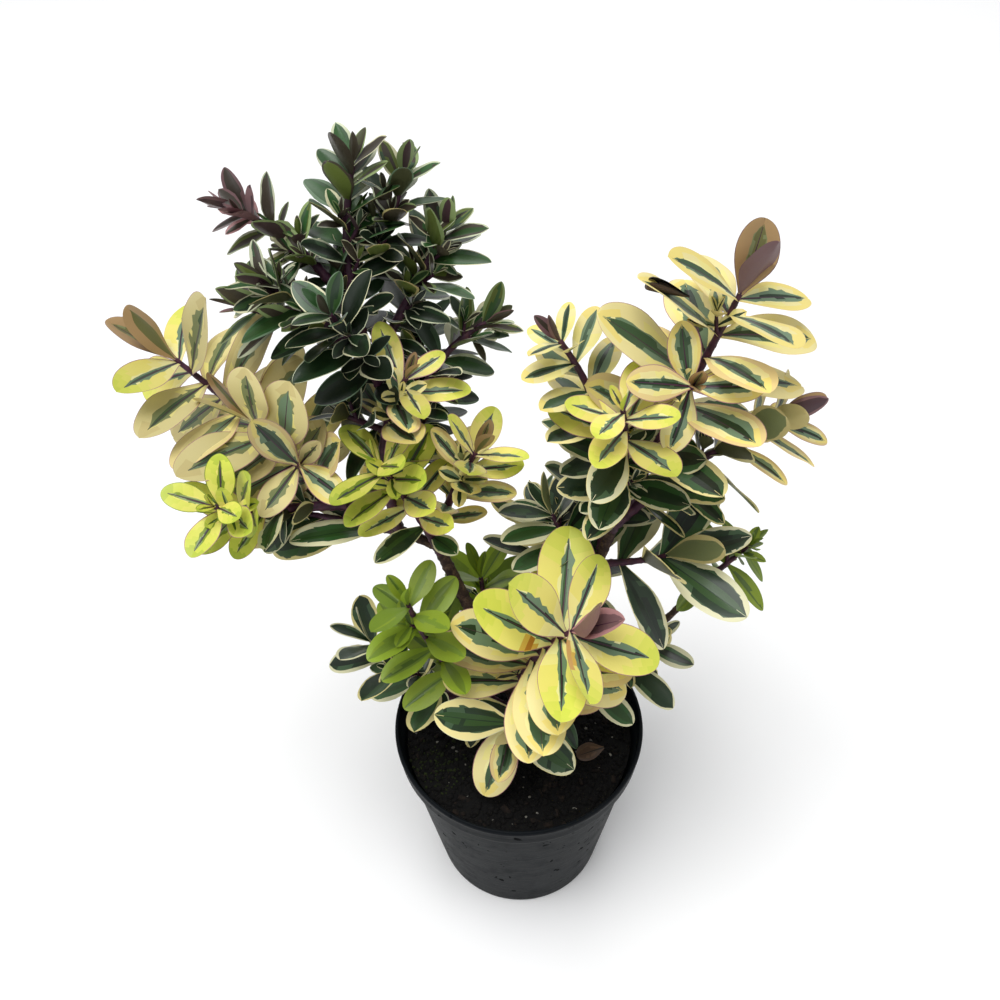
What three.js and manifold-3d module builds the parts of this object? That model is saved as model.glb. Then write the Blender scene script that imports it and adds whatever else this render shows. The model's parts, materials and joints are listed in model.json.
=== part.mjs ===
// A variegated hebe, a small evergreen shrub, growing in a 13 cm nursery pot.
// Millimetres, +Z up. The origin is the middle of the pot's flat underside.
import * as THREE from "three";
import { mergeVertices } from "three/addons/utils/BufferGeometryUtils.js";
import Module from "manifold-3d";

const wasm = await Module();
wasm.setup();

const clearance = 0.3; // air left between neighbouring pieces
const grains = [0.001, 0.0001]; // a skin stays closed when corners this near are taken as one

const pot = {
  height: 110,
  baseRadius: 47,
  shoulderRadius: 61.2, // the wall just under the collar
  rimRadius: 65,
  collarHeight: 13,
  collarLean: 0.4, // it widens this much on its way up
  ledge: 1, // height of the slope where wall and collar meet
  bead: { reach: 0.4, low: 3, crest: 2.2 }, // stands out round the lip, heights below its top
  rimThickness: 2,
  wall: 1.3,
  floor: 1.8,
  segments: 40,
  drainHoles: 4,
  drainRadius: 4,
  drainCircle: 36, // radius of the circle of drain holes
  drainSides: 12,
};
// The compost mounds a little towards the plant and is level where it stands.
const compost = { depthBelowRim: 12, crown: 1.5, levelRadius: 14 };

// A limb sets out from a share of its parent's length and bends evenly from its first heading and
// lift to its last. Headings are degrees round from +X towards +Y, and lift is degrees above level.
const limbs = [
  { name: "stock", length: 19, heading: [90, 90], lift: [87, 87], radius: [6.5, 4.6], flare: 1.5 },
  { name: "bough_left", from: "stock", at: 1, length: 117,
    heading: [172, 151], lift: [74, 67], radius: [3.3, 2.6] },
  { name: "bough_right", from: "stock", at: 0.9, length: 130,
    heading: [5, 32], lift: [68, 69], radius: [3.1, 2.4] },
  { name: "bough_front", from: "stock", at: 0.75, length: 38,
    heading: [-90, -92], lift: [48, 85], radius: [2.7, 2.3] },
  { name: "bough_leader", from: "bough_left", at: 1, length: 83,
    heading: [126, 130], lift: [70, 60], radius: [2.4, 1.9] },
  { name: "bough_side", from: "bough_left", at: 0.97, length: 56,
    heading: [173, 167], lift: [26, 30], radius: [2.3, 1.9] },
  { name: "bough_outer", from: "bough_right", at: 0.45, length: 82,
    heading: [5, 25], lift: [-47, 70], radius: [2, 1.6] },
];

// A leafy shoot grows like a limb and carries pairs of leaves, each pair a quarter turn on from the
// last. Shoots with the same mass are joined. Leaf is the longest leaf's length and width, and a
// bud's size is a share of the tip leaf, and lightShare says how far the leaves turn to the light.
const shoots = [
  { mass: "front", from: "bough_front", at: 1, length: 69, heading: [-28, -27], lift: [86, 49],
    pairs: 10, roll: 115, leaf: [46.4, 25], tipLeaf: 34, open: [88, 59],
    budSize: 0.72, budSlimness: 1, lightShare: 0.4 },
  { mass: "left_tip", from: "bough_side", at: 1, length: 85, heading: [137, 172], lift: [28, 47],
    pairs: 8, roll: 103, leaf: [43, 23], tipLeaf: 34, open: [91, 63],
    budSize: 0.9, budSlimness: 1.05, lightShare: 0.7 },
  { mass: "left_tip", from: "bough_side", at: 0.92, length: 46, heading: [150, 165], lift: [48, 40],
    pairs: 5, roll: 80, leaf: [41, 22], tipLeaf: 33, open: [75, 55], budSize: 0.8, lightShare: 0.7 },
  { mass: "right_tip", from: "bough_right", at: 1, length: 110, heading: [19, 27], lift: [66, 64],
    pairs: 8, roll: 176, leaf: [48, 22], tipLeaf: 37, open: [70, 72],
    budSize: 0.8, budSlimness: 1.35, lightShare: 0.62 },
  { mass: "right_tip", from: "right_tip", at: 0.62, length: 20, heading: [-110, -90], lift: [30, 42],
    pairs: 3, roll: 10, leaf: [26, 13.5], tipLeaf: 21, open: [80, 60], budSize: 0.8, lightShare: 0.5 },
  { mass: "right_front", from: "bough_right", at: 0.98, length: 71, heading: [-55, -137], lift: [86, 74],
    pairs: 9, roll: 25, leaf: [30, 15.5], tipLeaf: 19, open: [80, 60], budSize: 0.6, lightShare: 0.4 },
  { mass: "left_front", from: "bough_left", at: 0.93, length: 55, heading: [194, 193], lift: [73, 64],
    pairs: 9, roll: 30, leaf: [27, 13], tipLeaf: 21, open: [78, 60], budSize: 0.5, lightShare: 0.4 },
  { mass: "left_inner", from: "bough_left", at: 1, length: 54, heading: [25, -25], lift: [71, 64],
    pairs: 7, roll: 60, leaf: [26, 13], tipLeaf: 21, open: [55, 50], budSize: 0.8, lightShare: 0.4 },
  { mass: "leader", from: "bough_leader", at: 1, length: 80, heading: [139, 51], lift: [66, 66],
    pairs: 12, roll: 20, leaf: [24, 12], tipLeaf: 16, open: [75, 35], lightShare: 0.6 },
  { mass: "leader", from: "leader", at: 0.35, length: 54, heading: [38, 51], lift: [46, 60],
    pairs: 8, roll: 50, leaf: [21, 10], tipLeaf: 14, open: [65, 35], lightShare: 0.6 },
  { mass: "leader", from: "leader", at: 0.2, length: 69, heading: [141, 166], lift: [60, 18],
    pairs: 9, roll: 40, leaf: [20, 10], tipLeaf: 14, open: [65, 40], lightShare: 0.6 },
  { mass: "leader_right", from: "bough_leader", at: 1, length: 62, heading: [47, 27], lift: [45, 55],
    pairs: 10, roll: 10, leaf: [25, 11.5], tipLeaf: 16, open: [75, 35], lightShare: 0.6 },
  { mass: "leader_low", from: "bough_leader", at: 0.45, length: 73, heading: [79, 15], lift: [75, 20],
    pairs: 9, roll: 30, leaf: [25.5, 12], tipLeaf: 15.5, open: [75, 35], lightShare: 0.6 },
  { mass: "leader_left", from: "bough_leader", at: 0.95, length: 58, heading: [181, 169], lift: [58, 35],
    pairs: 10, roll: 15, leaf: [26, 12], tipLeaf: 16.5, open: [75, 35], lightShare: 0.6 },
  { mass: "leader_left", from: "leader_left", at: 0.25, length: 48, heading: [161, 165], lift: [30, 2],
    pairs: 7, roll: 45, leaf: [23, 10.5], tipLeaf: 14.5, open: [65, 40], lightShare: 0.6 },
  { mass: "leader_core", from: "bough_leader", at: 0.6, length: 26, heading: [192, 183], lift: [41, 27],
    pairs: 5, roll: 30, leaf: [24, 11], tipLeaf: 18, open: [80, 50] },
  { mass: "leader_front", from: "bough_leader", at: 0.8, length: 52, heading: [205, 215], lift: [75, 62],
    pairs: 8, roll: 10, leaf: [26, 12.5], tipLeaf: 16, open: [75, 40], lightShare: 0.6 },
  { mass: "left_low", from: "bough_side", at: 0.8, length: 65, heading: [179, 249], lift: [-3, 51],
    pairs: 7, roll: 22, leaf: [26, 14], tipLeaf: 20, open: [50, 58], budSize: 0.5, lightShare: 0.4 },
  { mass: "left_under", from: "bough_side", at: 0.25, length: 48, heading: [174, 176], lift: [8, 8],
    pairs: 5, roll: 20, leaf: [46, 19], tipLeaf: 36, open: [45, 30] },
  { mass: "left_upper", from: "bough_side", at: 0.35, length: 78, heading: [184, -33], lift: [85, 61],
    pairs: 12, roll: 20, leaf: [34, 15], tipLeaf: 20, open: [75, 60], budSize: 0.7, lightShare: 0.4 },
  { mass: "right_inner", from: "bough_right", at: 0.95, length: 98, heading: [109, 184], lift: [89, 57],
    pairs: 11, roll: 15, leaf: [27.5, 13.5], tipLeaf: 15, open: [75, 50], budSize: 1 },
  { mass: "right_outer", from: "bough_right", at: 0.97, length: 83, heading: [21, 9], lift: [38, 24],
    pairs: 11, roll: 45, leaf: [31, 15], tipLeaf: 22.5, open: [75, 40],
    budSize: 1.1, lightShare: 0.4 },
  { mass: "right_back", from: "bough_right", at: 0.75, length: 34, heading: [144, 133], lift: [40, 50],
    pairs: 7, roll: 0, leaf: [32, 14], tipLeaf: 24, open: [80, 50] },
  { mass: "right_low", from: "bough_right", at: 0.8, length: 33, heading: [7, -24], lift: [-7, 38],
    pairs: 3, roll: 49, leaf: [48.5, 22], tipLeaf: 45, open: [66, 38] },
  { mass: "outer", from: "bough_outer", at: 0.9, length: 41, heading: [-19, 40], lift: [72, 16],
    pairs: 6, roll: 166, leaf: [28, 10.5], tipLeaf: 17, open: [88, 84] },
  { mass: "front_low", from: "bough_front", at: 0.15, length: 34, heading: [-101, -99], lift: [70, 20],
    pairs: 4, roll: 77, leaf: [38, 20], tipLeaf: 36, open: [81, 59], lightShare: 0.5 },
  { mass: "base_right", from: "stock", at: 0.5, length: 87, heading: [-3, 6], lift: [38, 46],
    pairs: 7, roll: 45, leaf: [31, 14], tipLeaf: 20, open: [75, 55] },
  { mass: "front_left", from: "stock", at: 0.6, length: 118, heading: [193, 201], lift: [50, 79],
    pairs: 10, roll: 30, leaf: [27, 13], tipLeaf: 20, open: [80, 62] },
  { mass: "base_left", from: "stock", at: 0.35, length: 94, heading: [182, 165], lift: [27, 51],
    pairs: 7, roll: 0, leaf: [31, 15], tipLeaf: 25, open: [70, 50] },
  { mass: "low_back", from: "stock", at: 0.7, length: 84, heading: [139, 111], lift: [67, 71],
    pairs: 9, roll: 0, leaf: [28, 13], tipLeaf: 22, open: [80, 50] },
  { mass: "back_left", from: "bough_leader", at: 0.7, length: 46, heading: [59, 87], lift: [23, 43],
    pairs: 9, roll: 20, leaf: [25, 10], tipLeaf: 16, open: [75, 40] },
  { mass: "back_right", from: "bough_right", at: 0.6, length: 74, heading: [77, 52], lift: [51, 62],
    pairs: 8, roll: 40, leaf: [31.5, 14], tipLeaf: 20, open: [80, 45] },
  { mass: "back_low", from: "bough_right", at: 0.3, length: 75, heading: [100, 85], lift: [45, 60],
    pairs: 8, roll: 10, leaf: [32, 14], tipLeaf: 22, open: [80, 50] },
  { mass: "back_upper", from: "bough_leader", at: 0.3, length: 56, heading: [95, 90], lift: [42, 52],
    pairs: 7, roll: 30, leaf: [28, 12], tipLeaf: 19, open: [80, 45] },
  { mass: "back_inner", from: "bough_right", at: 0.85, length: 60, heading: [85, 80], lift: [45, 55],
    pairs: 7, roll: 0, leaf: [30, 13], tipLeaf: 20, open: [80, 45] },
];

const shootRule = {
  bareShare: 0.14, // of its length, below the first pair
  crowding: 1.3, // pairs draw together towards the tip
  closing: 1.5, // and close up, mostly near the tip
  firstSize: 0.75, // of the longest leaf
  sizeGain: 0.8, // along the whole shoot, up to the longest
  bud: { open: 14, size: 0.8, slimness: 0.8 }, // the pair still folded together, beside the tip leaf
  footRadius: 1.1,
  radiusGain: 1 / 90, // at the foot, for each millimetre of length
  tipRadius: 0.8,
};

const leafRule = {
  widestShare: 0.66, // of its length
  tipHalf: 0.25, // of its width, half the blunt tip
  keelShare: 0.35,
  thickness: 1,
  arch: -0.1, // how far the tip falls back from straight, of the length
  rootDepth: 0.3, // past the stem's middle, of the stem's radius
  innerShare: 0.3, // of its length, where a pair and its neighbours crowd
  turnJitter: 8, // degrees
  sizeJitter: 0.1,
  light: new THREE.Vector3(-0.05, -0.5, 0.86), // leaves twist on their stalks to face it
  lightShare: 0.62,
  tries: [0, 14, -14, 28, -28], // degrees round the shoot, for a leaf that would touch something
};

const pathSteps = 24; // stations along a limb's path
const ringEvery = 6; // stations, between the rings of its solid
const sides = { stock: 12, bough: 8, twig: 3 };

const up = new THREE.Vector3(0, 0, 1);
const radians = THREE.MathUtils.degToRad;
const mix = THREE.MathUtils.lerp;

// A repeatable stream of numbers from 0 to 1.
function seededStream(seed) {
  let state = seed * 7919 + 17;
  return () => {
    state = (state * 16807) % 2147483647;
    return state / 2147483647;
  };
}

function towards(heading, lift) {
  const flat = Math.cos(radians(lift));
  return new THREE.Vector3(
    flat * Math.cos(radians(heading)), flat * Math.sin(radians(heading)), Math.sin(radians(lift)));
}

// ---- Paths: a list of stations, each with its place, the way ahead and a side direction.

function growPath(start, limb) {
  const place = start.clone();
  const path = [];
  for (let k = 0; k <= pathSteps; k++) {
    const share = Math.min(1, (k + 0.5) / pathSteps);
    const ahead = towards(mix(...limb.heading, share), mix(...limb.lift, share));
    const side = k ? path[k - 1].side.clone() : new THREE.Vector3().crossVectors(ahead, up);
    side.addScaledVector(ahead, -side.dot(ahead)).normalize();
    path.push({ place: place.clone(), ahead, side, radius: mix(...limb.radius, k / pathSteps) });
    place.addScaledVector(ahead, limb.length / pathSteps);
  }
  return path;
}

function stationAt(path, share) {
  const spot = Math.min(share, 0.9999) * (path.length - 1);
  const [low, high] = [path[Math.floor(spot)], path[Math.floor(spot) + 1]];
  const part = spot - Math.floor(spot);
  return {
    place: low.place.clone().lerp(high.place, part),
    ahead: low.ahead.clone().lerp(high.ahead, part).normalize(),
    side: low.side.clone().lerp(high.side, part).normalize(),
    radius: mix(low.radius, high.radius, part),
  };
}

// ---- Solids

function solidFrom(geometry) {
  const bare = geometry.clone();
  bare.deleteAttribute("normal");
  bare.deleteAttribute("uv");
  const merged = mergeVertices(bare, 1e-4);
  return new wasm.Manifold(new wasm.Mesh({
    numProp: 3,
    vertProperties: new Float32Array(merged.attributes.position.array),
    triVerts: new Uint32Array(merged.index.array),
  }));
}

function geometryFrom(solid) {
  const mesh = solid.getMesh();
  return new THREE.BufferGeometry()
    .setAttribute("position", new THREE.BufferAttribute(new Float32Array(mesh.vertProperties), 3))
    .setIndex(new THREE.BufferAttribute(new Uint32Array(mesh.triVerts), 1))
    .toNonIndexed();
}

// The outer skin of the largest body: sealed hollows are filled and loose scraps are dropped.
function soundBody(solid) {
  return solid.decompose().sort((a, b) => b.volume() - a.volume())[0];
}

function holdsTogether(solid, grain) {
  const { numProp, vertProperties, triVerts } = solid.getMesh();
  const corner = (vertex) => {
    const start = vertex * numProp;
    return [0, 1, 2].map((axis) => Math.round(vertProperties[start + axis] / grain)).join();
  };
  const corners = Array.from({ length: vertProperties.length / numProp }, (_, vertex) => corner(vertex));
  const edges = new Map();
  for (let t = 0; t < triVerts.length; t += 3) {
    const [a, b, c] = [corners[triVerts[t]], corners[triVerts[t + 1]], corners[triVerts[t + 2]]];
    if (a === b || b === c || c === a) continue;
    for (const edge of [`${a} ${b}`, `${b} ${c}`, `${c} ${a}`]) {
      edges.set(edge, (edges.get(edge) ?? 0) + 1);
    }
  }
  return [...edges].every(([edge, count]) => {
    const [from, to] = edge.split(" ");
    return count === 1 && edges.get(`${to} ${from}`) === 1;
  });
}

// A closed skin through rings that all have the same number of points, with a fan on each end.
function skin(rings) {
  const around = rings[0].length;
  const index = [];
  for (let r = 0; r + 1 < rings.length; r++) {
    for (let s = 0; s < around; s++) {
      const [a, b] = [r * around + s, r * around + ((s + 1) % around)];
      index.push(a, b, b + around, a, b + around, a + around);
    }
  }
  const last = (rings.length - 1) * around;
  for (let s = 1; s + 1 < around; s++) {
    index.push(0, s + 1, s, last, last + s, last + s + 1);
  }
  const points = rings.flat().flatMap((point) => point.toArray());
  return new THREE.BufferGeometry()
    .setAttribute("position", new THREE.Float32BufferAttribute(points, 3))
    .setIndex(index);
}

function limbSolid(path, around, extra = 0) {
  const rings = path.filter((_, k) => k % ringEvery === 0).map(({ place, ahead, side, radius }) => {
    const third = new THREE.Vector3().crossVectors(ahead, side);
    return Array.from({ length: around }, (_, s) => {
      const angle = (2 * Math.PI * s) / around;
      return place.clone()
        .addScaledVector(side, (radius + extra) * Math.cos(angle))
        .addScaledVector(third, (radius + extra) * Math.sin(angle));
    });
  });
  return solidFrom(skin(rings));
}

// A leaf is a keeled blade from a pointed root, widest past its middle, with one short edge as its
// blunt tip. The keel runs under it and is deepest near the root, where the stalk would be.
function leafSolid({ root, along, face, length, width }, extra = 0) {
  const across = new THREE.Vector3().crossVectors(along, face);
  const spot = (share, half, lift) => root.clone()
    .addScaledVector(along, share * length)
    .addScaledVector(across, half)
    .addScaledVector(face, leafRule.arch * length * share * share + lift);
  const { widestShare, keelShare, thickness } = leafRule;
  const half = width / 2 + extra;
  const tipHalf = leafRule.tipHalf * width + extra;
  const points = [
    spot(0, 0, extra), spot(widestShare, -half, extra), spot(widestShare, half, extra),
    spot(keelShare, 0, -thickness - 2 * extra),
    spot(1 + extra / length, -tipHalf, 0), spot(1 + extra / length, tipHalf, 0),
  ];
  const index = [
    0, 2, 1, 0, 3, 2, 0, 1, 3, // root to widest
    1, 2, 5, 1, 5, 4, 2, 3, 5, 3, 1, 4, 3, 4, 5, // widest to tip
  ];
  return solidFrom(new THREE.BufferGeometry()
    .setAttribute("position", new THREE.Float32BufferAttribute(points.flatMap((p) => p.toArray()), 3))
    .setIndex(index));
}

// ---- Growth

// The leaves of one shoot: decussate pairs that lie wide open low down and close towards the bud.
function leavesOf(shoot, stream) {
  const { bareShare, crowding, closing, firstSize, sizeGain, bud } = shootRule;
  const [longest, widest] = shoot.leaf;
  const tipSize = shoot.tipLeaf / longest;
  const leaves = [];
  for (let pair = 0; pair <= shoot.pairs; pair++) {
    const isBud = pair === shoot.pairs;
    const share = isBud ? 1 : (pair + 0.5) / shoot.pairs;
    const height = mix(bareShare, 1, 1 - (1 - share) ** crowding);
    const grown = Math.min(1, firstSize + sizeGain * share, mix(tipSize + 1, tipSize, share));
    const size = isBud ? (shoot.budSize ?? bud.size) * tipSize : grown;
    const opening = isBud ? bud.open : mix(...shoot.open, share ** closing);
    const slimness = isBud ? shoot.budSlimness ?? bud.slimness : 1;
    const turn = shoot.roll + 90 * pair + leafRule.turnJitter * (2 * stream() - 1);
    for (const half of [0, 180]) {
      const varied = size * (1 + leafRule.sizeJitter * (2 * stream() - 1));
      leaves.push({
        height, opening, turn: turn + half,
        length: longest * varied, width: widest * varied * slimness, lightShare: shoot.lightShare,
      });
    }
  }
  return leaves;
}

// Where a leaf sits, once its turn round the shoot is chosen.
function placeLeaf(path, leaf, extraTurn) {
  const { place, ahead, side, radius } = stationAt(path, leaf.height);
  const outward = side.clone().applyAxisAngle(ahead, radians(leaf.turn + extraTurn));
  const open = radians(leaf.opening);
  const along = ahead.clone().multiplyScalar(Math.cos(open)).addScaledVector(outward, Math.sin(open));
  const face = ahead.clone().multiplyScalar(Math.sin(open)).addScaledVector(outward, -Math.cos(open));
  face.lerp(leafRule.light, leaf.lightShare ?? leafRule.lightShare);
  face.addScaledVector(along, -face.dot(along)).normalize();
  const root = place.clone().addScaledVector(outward, -leafRule.rootDepth * radius);
  return { root, along, face, length: leaf.length + radius, width: leaf.width };
}

function boxed(solid) {
  return { solid, box: solid.boundingBox() };
}

function meets(solid, others) {
  const box = solid.boundingBox();
  return others.some((other) => {
    const far = other.box.min.some((low, axis) => low > box.max[axis] || other.box.max[axis] < box.min[axis]);
    return !far && solid.intersect(other.solid).volume() > 0;
  });
}

const paths = new Map();
const limbSpaces = []; // each limb with the clearance round it
const pieces = [];

function addPiece(name, solid, paint) {
  const piece = { name, solid, paint };
  pieces.push(piece);
  return piece;
}

// The solid without what lies within the clearance of a limb that it grows from or beside.
function clearOf(spaces, solid) {
  return soundBody(spaces.reduce((left, space) => left.subtract(space), solid));
}

function addLimb(name, path, around) {
  addPiece(name, clearOf(limbSpaces, limbSolid(path, around)), paints.bark);
  limbSpaces.push(limbSolid(path, around, clearance));
}

function startOf(limb) {
  return stationAt(paths.get(limb.from), limb.at).place;
}

function growStock(limb) {
  const path = growPath(new THREE.Vector3(0, 0, compostTop() + clearance), limb);
  path[0].radius *= limb.flare;
  paths.set(limb.name, path);
  const flatFoot = path.map((station) => ({ ...station, ahead: up, side: new THREE.Vector3(1, 0, 0) }));
  addLimb(limb.name, flatFoot, sides.stock);
}

function growBough(limb) {
  const path = growPath(startOf(limb), limb);
  paths.set(limb.name, path);
  addLimb(limb.name, path, sides.bough);
}

// The stems of one mass, fused, as a piece that waits for its leaves.
function growStems(name, stems) {
  const { footRadius, radiusGain, tipRadius } = shootRule;
  const grown = stems.map((shoot) => {
    const radius = [footRadius + radiusGain * shoot.length, tipRadius];
    const path = growPath(startOf(shoot), { ...shoot, radius });
    if (!paths.has(name)) paths.set(name, path);
    return { shoot, path };
  });
  const twigs = grown.map(({ path }) => clearOf(limbSpaces, limbSolid(path, sides.twig)));
  limbSpaces.push(...grown.map(({ path }) => limbSolid(path, sides.twig, clearance)));
  const piece = addPiece(`foliage_${name}`, twigs.reduce((left, twig) => left.add(twig)), paints.leaf);
  return { piece, grown };
}

// The outer part of a leaf, past where its pair crowds round the stem.
function bladeOf(spot) {
  const inner = leafRule.innerShare * spot.length;
  const root = spot.root.clone().addScaledVector(spot.along, inner);
  return leafSolid({ ...spot, root, length: spot.length - inner });
}

// Each leaf takes the first turn that is clear of every other piece, and of its own mass if it can.
function growLeaves({ piece, grown }, stream) {
  const others = pieces.filter((other) => other !== piece).map(({ solid }) => boxed(solid));
  const own = [boxed(piece.solid)];
  for (const { shoot, path } of grown) {
    for (const leaf of leavesOf(shoot, stream)) {
      const spots = leafRule.tries.map((turn) => placeLeaf(path, leaf, turn))
        .filter((spot) => !meets(leafSolid(spot, clearance), others))
        .map((spot) => ({ spot, crossing: meets(bladeOf(spot), own) }))
        .sort((a, b) => a.crossing - b.crossing);
      for (const { spot } of spots) {
        const joined = soundBody(piece.solid.add(leafSolid(spot)));
        if (grains.every((grain) => holdsTogether(joined, grain))) {
          piece.solid = joined;
          own.push(boxed(leafSolid(spot)));
          break;
        }
      }
    }
  }
}

// ---- Pot and compost

function wallRadius(height) {
  return mix(pot.baseRadius, pot.shoulderRadius, height / (pot.height - pot.collarHeight));
}

function compostTop() {
  return pot.height - compost.depthBelowRim + compost.crown;
}

function lathe(profile) {
  const points = profile.map(([radius, height]) => new THREE.Vector2(radius, height));
  return solidFrom(new THREE.LatheGeometry(points, pot.segments).rotateX(Math.PI / 2));
}

function makePot() {
  const { height, rimRadius, ledge, bead } = pot;
  const shoulder = height - pot.collarHeight;
  const collar = rimRadius - bead.reach;
  const bore = rimRadius - pot.rimThickness;
  const shell = lathe([
    [0, 0], [pot.baseRadius, 0], [pot.shoulderRadius, shoulder], [collar - pot.collarLean, shoulder + ledge],
    [collar, height - bead.low], [rimRadius, height - bead.crest], [collar, height], [bore, height],
    [bore - pot.collarLean, shoulder + 2 * ledge],
    [wallRadius(shoulder) - pot.wall, shoulder - ledge],
    [wallRadius(pot.floor) - pot.wall, pot.floor], [0, pot.floor],
  ]);
  const holes = Array.from({ length: pot.drainHoles }, (_, k) => {
    const angle = (2 * Math.PI * k) / pot.drainHoles;
    const drill = new THREE.CylinderGeometry(pot.drainRadius, pot.drainRadius, 3 * pot.floor, pot.drainSides)
      .rotateX(Math.PI / 2)
      .translate(pot.drainCircle * Math.cos(angle), pot.drainCircle * Math.sin(angle), pot.floor / 2);
    return solidFrom(drill);
  });
  return holes.reduce((left, hole) => left.subtract(hole), shell);
}

function makeCompost() {
  const low = pot.floor + clearance;
  const edge = pot.height - compost.depthBelowRim;
  const reach = (height) => wallRadius(height) - pot.wall - clearance;
  const shoulder = pot.height - pot.collarHeight - pot.ledge;
  return lathe([
    [0, low], [reach(low), low], [reach(shoulder), shoulder], [reach(shoulder), edge],
    [compost.levelRadius, compostTop()], [0, compostTop()],
  ]);
}

const paints = {
  pot: { color: 0x3b4042, roughness: 0.55 },
  compost: { color: 0x120e0b, roughness: 1 },
  bark: { color: 0x3a2026, roughness: 0.7 },
  leaf: { color: 0x7d9a4a, roughness: 0.5 },
};

addPiece("pot", makePot(), paints.pot);
addPiece("compost", makeCompost(), paints.compost);
growStock(limbs[0]);
limbs.slice(1).forEach(growBough);
const massNames = [...new Set(shoots.map((shoot) => shoot.mass))];
const masses = massNames.map((name) => growStems(name, shoots.filter((shoot) => shoot.mass === name)));
masses.forEach((mass, order) => growLeaves(mass, seededStream(order + 1)));

const hebe = new THREE.Group();
for (const { name, solid, paint } of pieces) {
  const material = new THREE.MeshStandardMaterial({ ...paint, metalness: 0 });
  const mesh = new THREE.Mesh(geometryFrom(solid), material);
  mesh.name = name;
  hebe.add(mesh);
}

export default hebe;
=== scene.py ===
import json
import math
import random

import bpy
import numpy as np
from mathutils import Matrix, Vector
from mathutils.bvhtree import BVHTree

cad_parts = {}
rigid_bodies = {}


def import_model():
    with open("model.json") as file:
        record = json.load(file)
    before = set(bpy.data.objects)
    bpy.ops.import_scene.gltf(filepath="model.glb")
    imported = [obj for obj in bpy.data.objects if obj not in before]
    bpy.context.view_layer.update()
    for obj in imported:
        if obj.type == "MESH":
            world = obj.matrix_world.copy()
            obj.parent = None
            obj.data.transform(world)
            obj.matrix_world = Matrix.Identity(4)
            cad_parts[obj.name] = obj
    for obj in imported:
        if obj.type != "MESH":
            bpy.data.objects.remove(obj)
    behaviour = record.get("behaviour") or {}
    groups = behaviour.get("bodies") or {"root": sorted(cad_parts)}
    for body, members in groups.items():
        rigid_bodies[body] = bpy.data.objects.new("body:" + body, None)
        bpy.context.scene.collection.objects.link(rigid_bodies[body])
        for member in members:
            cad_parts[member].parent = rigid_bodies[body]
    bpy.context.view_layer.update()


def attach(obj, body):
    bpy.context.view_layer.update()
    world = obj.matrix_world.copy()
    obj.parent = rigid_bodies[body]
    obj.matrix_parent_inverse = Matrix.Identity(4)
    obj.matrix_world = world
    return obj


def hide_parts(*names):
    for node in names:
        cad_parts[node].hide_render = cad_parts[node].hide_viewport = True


# A variegated hebe in its nursery pot. The plant grows here by the same rule as its solids do,
# in millimetres, and every mesh is written in metres.
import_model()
mm = 0.001
anyTurn = 6.28  # radians, a whole turn for random angles and waves


# A socket that can be used in sums, so that 1 - mask adds a Math node.
class Wire:
    def __init__(self, desk, socket):
        self.desk, self.socket = desk, socket

    def maths(self, operation, *values):
        return self.desk.make("ShaderNodeMath", {"operation": operation}, dict(enumerate(values)))

    def __add__(self, other):
        return self.maths("ADD", self, other)

    def __sub__(self, other):
        return self.maths("SUBTRACT", self, other)

    def __rsub__(self, other):
        return self.maths("SUBTRACT", other, self)

    def __mul__(self, other):
        return self.maths("MULTIPLY", self, other)

    def __truediv__(self, other):
        return self.maths("DIVIDE", self, other)

    def __pow__(self, other):
        return self.maths("POWER", self, other)

    def __gt__(self, other):
        return self.maths("GREATER_THAN", self, other)

    __radd__ = __add__
    __rmul__ = __mul__


# Makes the nodes of one tree: a type, its settings, then the values or wires of its sockets.
class Desk:
    def make(self, kind, settings=None, sockets=None, out=0):
        node = self.tree.nodes.new(kind)
        for key, value in (settings or {}).items():
            if key == "stops":
                self.setStops(node.color_ramp, value)
            else:
                setattr(node, key, value)
        self.fill(node, sockets or {})
        return Wire(self, node.outputs[out])

    def fill(self, node, sockets):
        for key, value in sockets.items():
            if isinstance(value, Wire):
                self.tree.links.new(value.socket, node.inputs[key])
            else:
                node.inputs[key].default_value = value

    def setStops(self, ramp, stops):
        while len(ramp.elements) < len(stops):
            ramp.elements.new(0.5)
        for element, (place, value) in zip(ramp.elements, stops):
            element.position = place
            element.color = value if isinstance(value, tuple) else (value, value, value, 1)

    def noise(self, vector, scale, detail=3, roughness=0.5):
        return self.make("ShaderNodeTexNoise", {}, {
            "Vector": vector, "Scale": scale, "Detail": detail, "Roughness": roughness})


class Paint(Desk):
    def __init__(self, name, colour, **values):
        self.material = bpy.data.materials.new(name)
        self.material.use_nodes = True
        self.material.diffuse_color = colour
        self.tree = self.material.node_tree
        self.shader = self.tree.nodes["Principled BSDF"]
        self.set(**{"Base Color": colour}, **values)
        self.place = self.make("ShaderNodeTexCoord", out="Object")

    def set(self, **values):
        self.fill(self.shader, values)

    def ramp(self, wire, stops):
        return self.make("ShaderNodeValToRGB", {"stops": stops}, {"Fac": wire})

    def mixed(self, share, first, second):
        return self.make("ShaderNodeMix", {"data_type": "RGBA"}, {0: share, 6: first, 7: second}, out=2)

    def bump(self, height, distance, strength):
        self.set(Normal=self.make("ShaderNodeBump", {}, {
            "Height": height, "Distance": distance, "Strength": strength}))


# A finish whose hue, roughness and relief all follow one grain. The hue stays plain without stops.
def grainPaint(name, colour, shine, grain, rough, relief, stops=(), **values):
    paint = Paint(name, colour, **{"Specular IOR Level": shine}, **values)
    wire = paint.noise(paint.place, *grain)
    if stops:
        paint.set(**{"Base Color": paint.ramp(wire, [(place, linear(hue)) for place, hue in stops])})
    lowest, gain = rough
    paint.set(Roughness=wire * gain + lowest)
    paint.bump(wire, *relief)
    return paint.material


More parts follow.
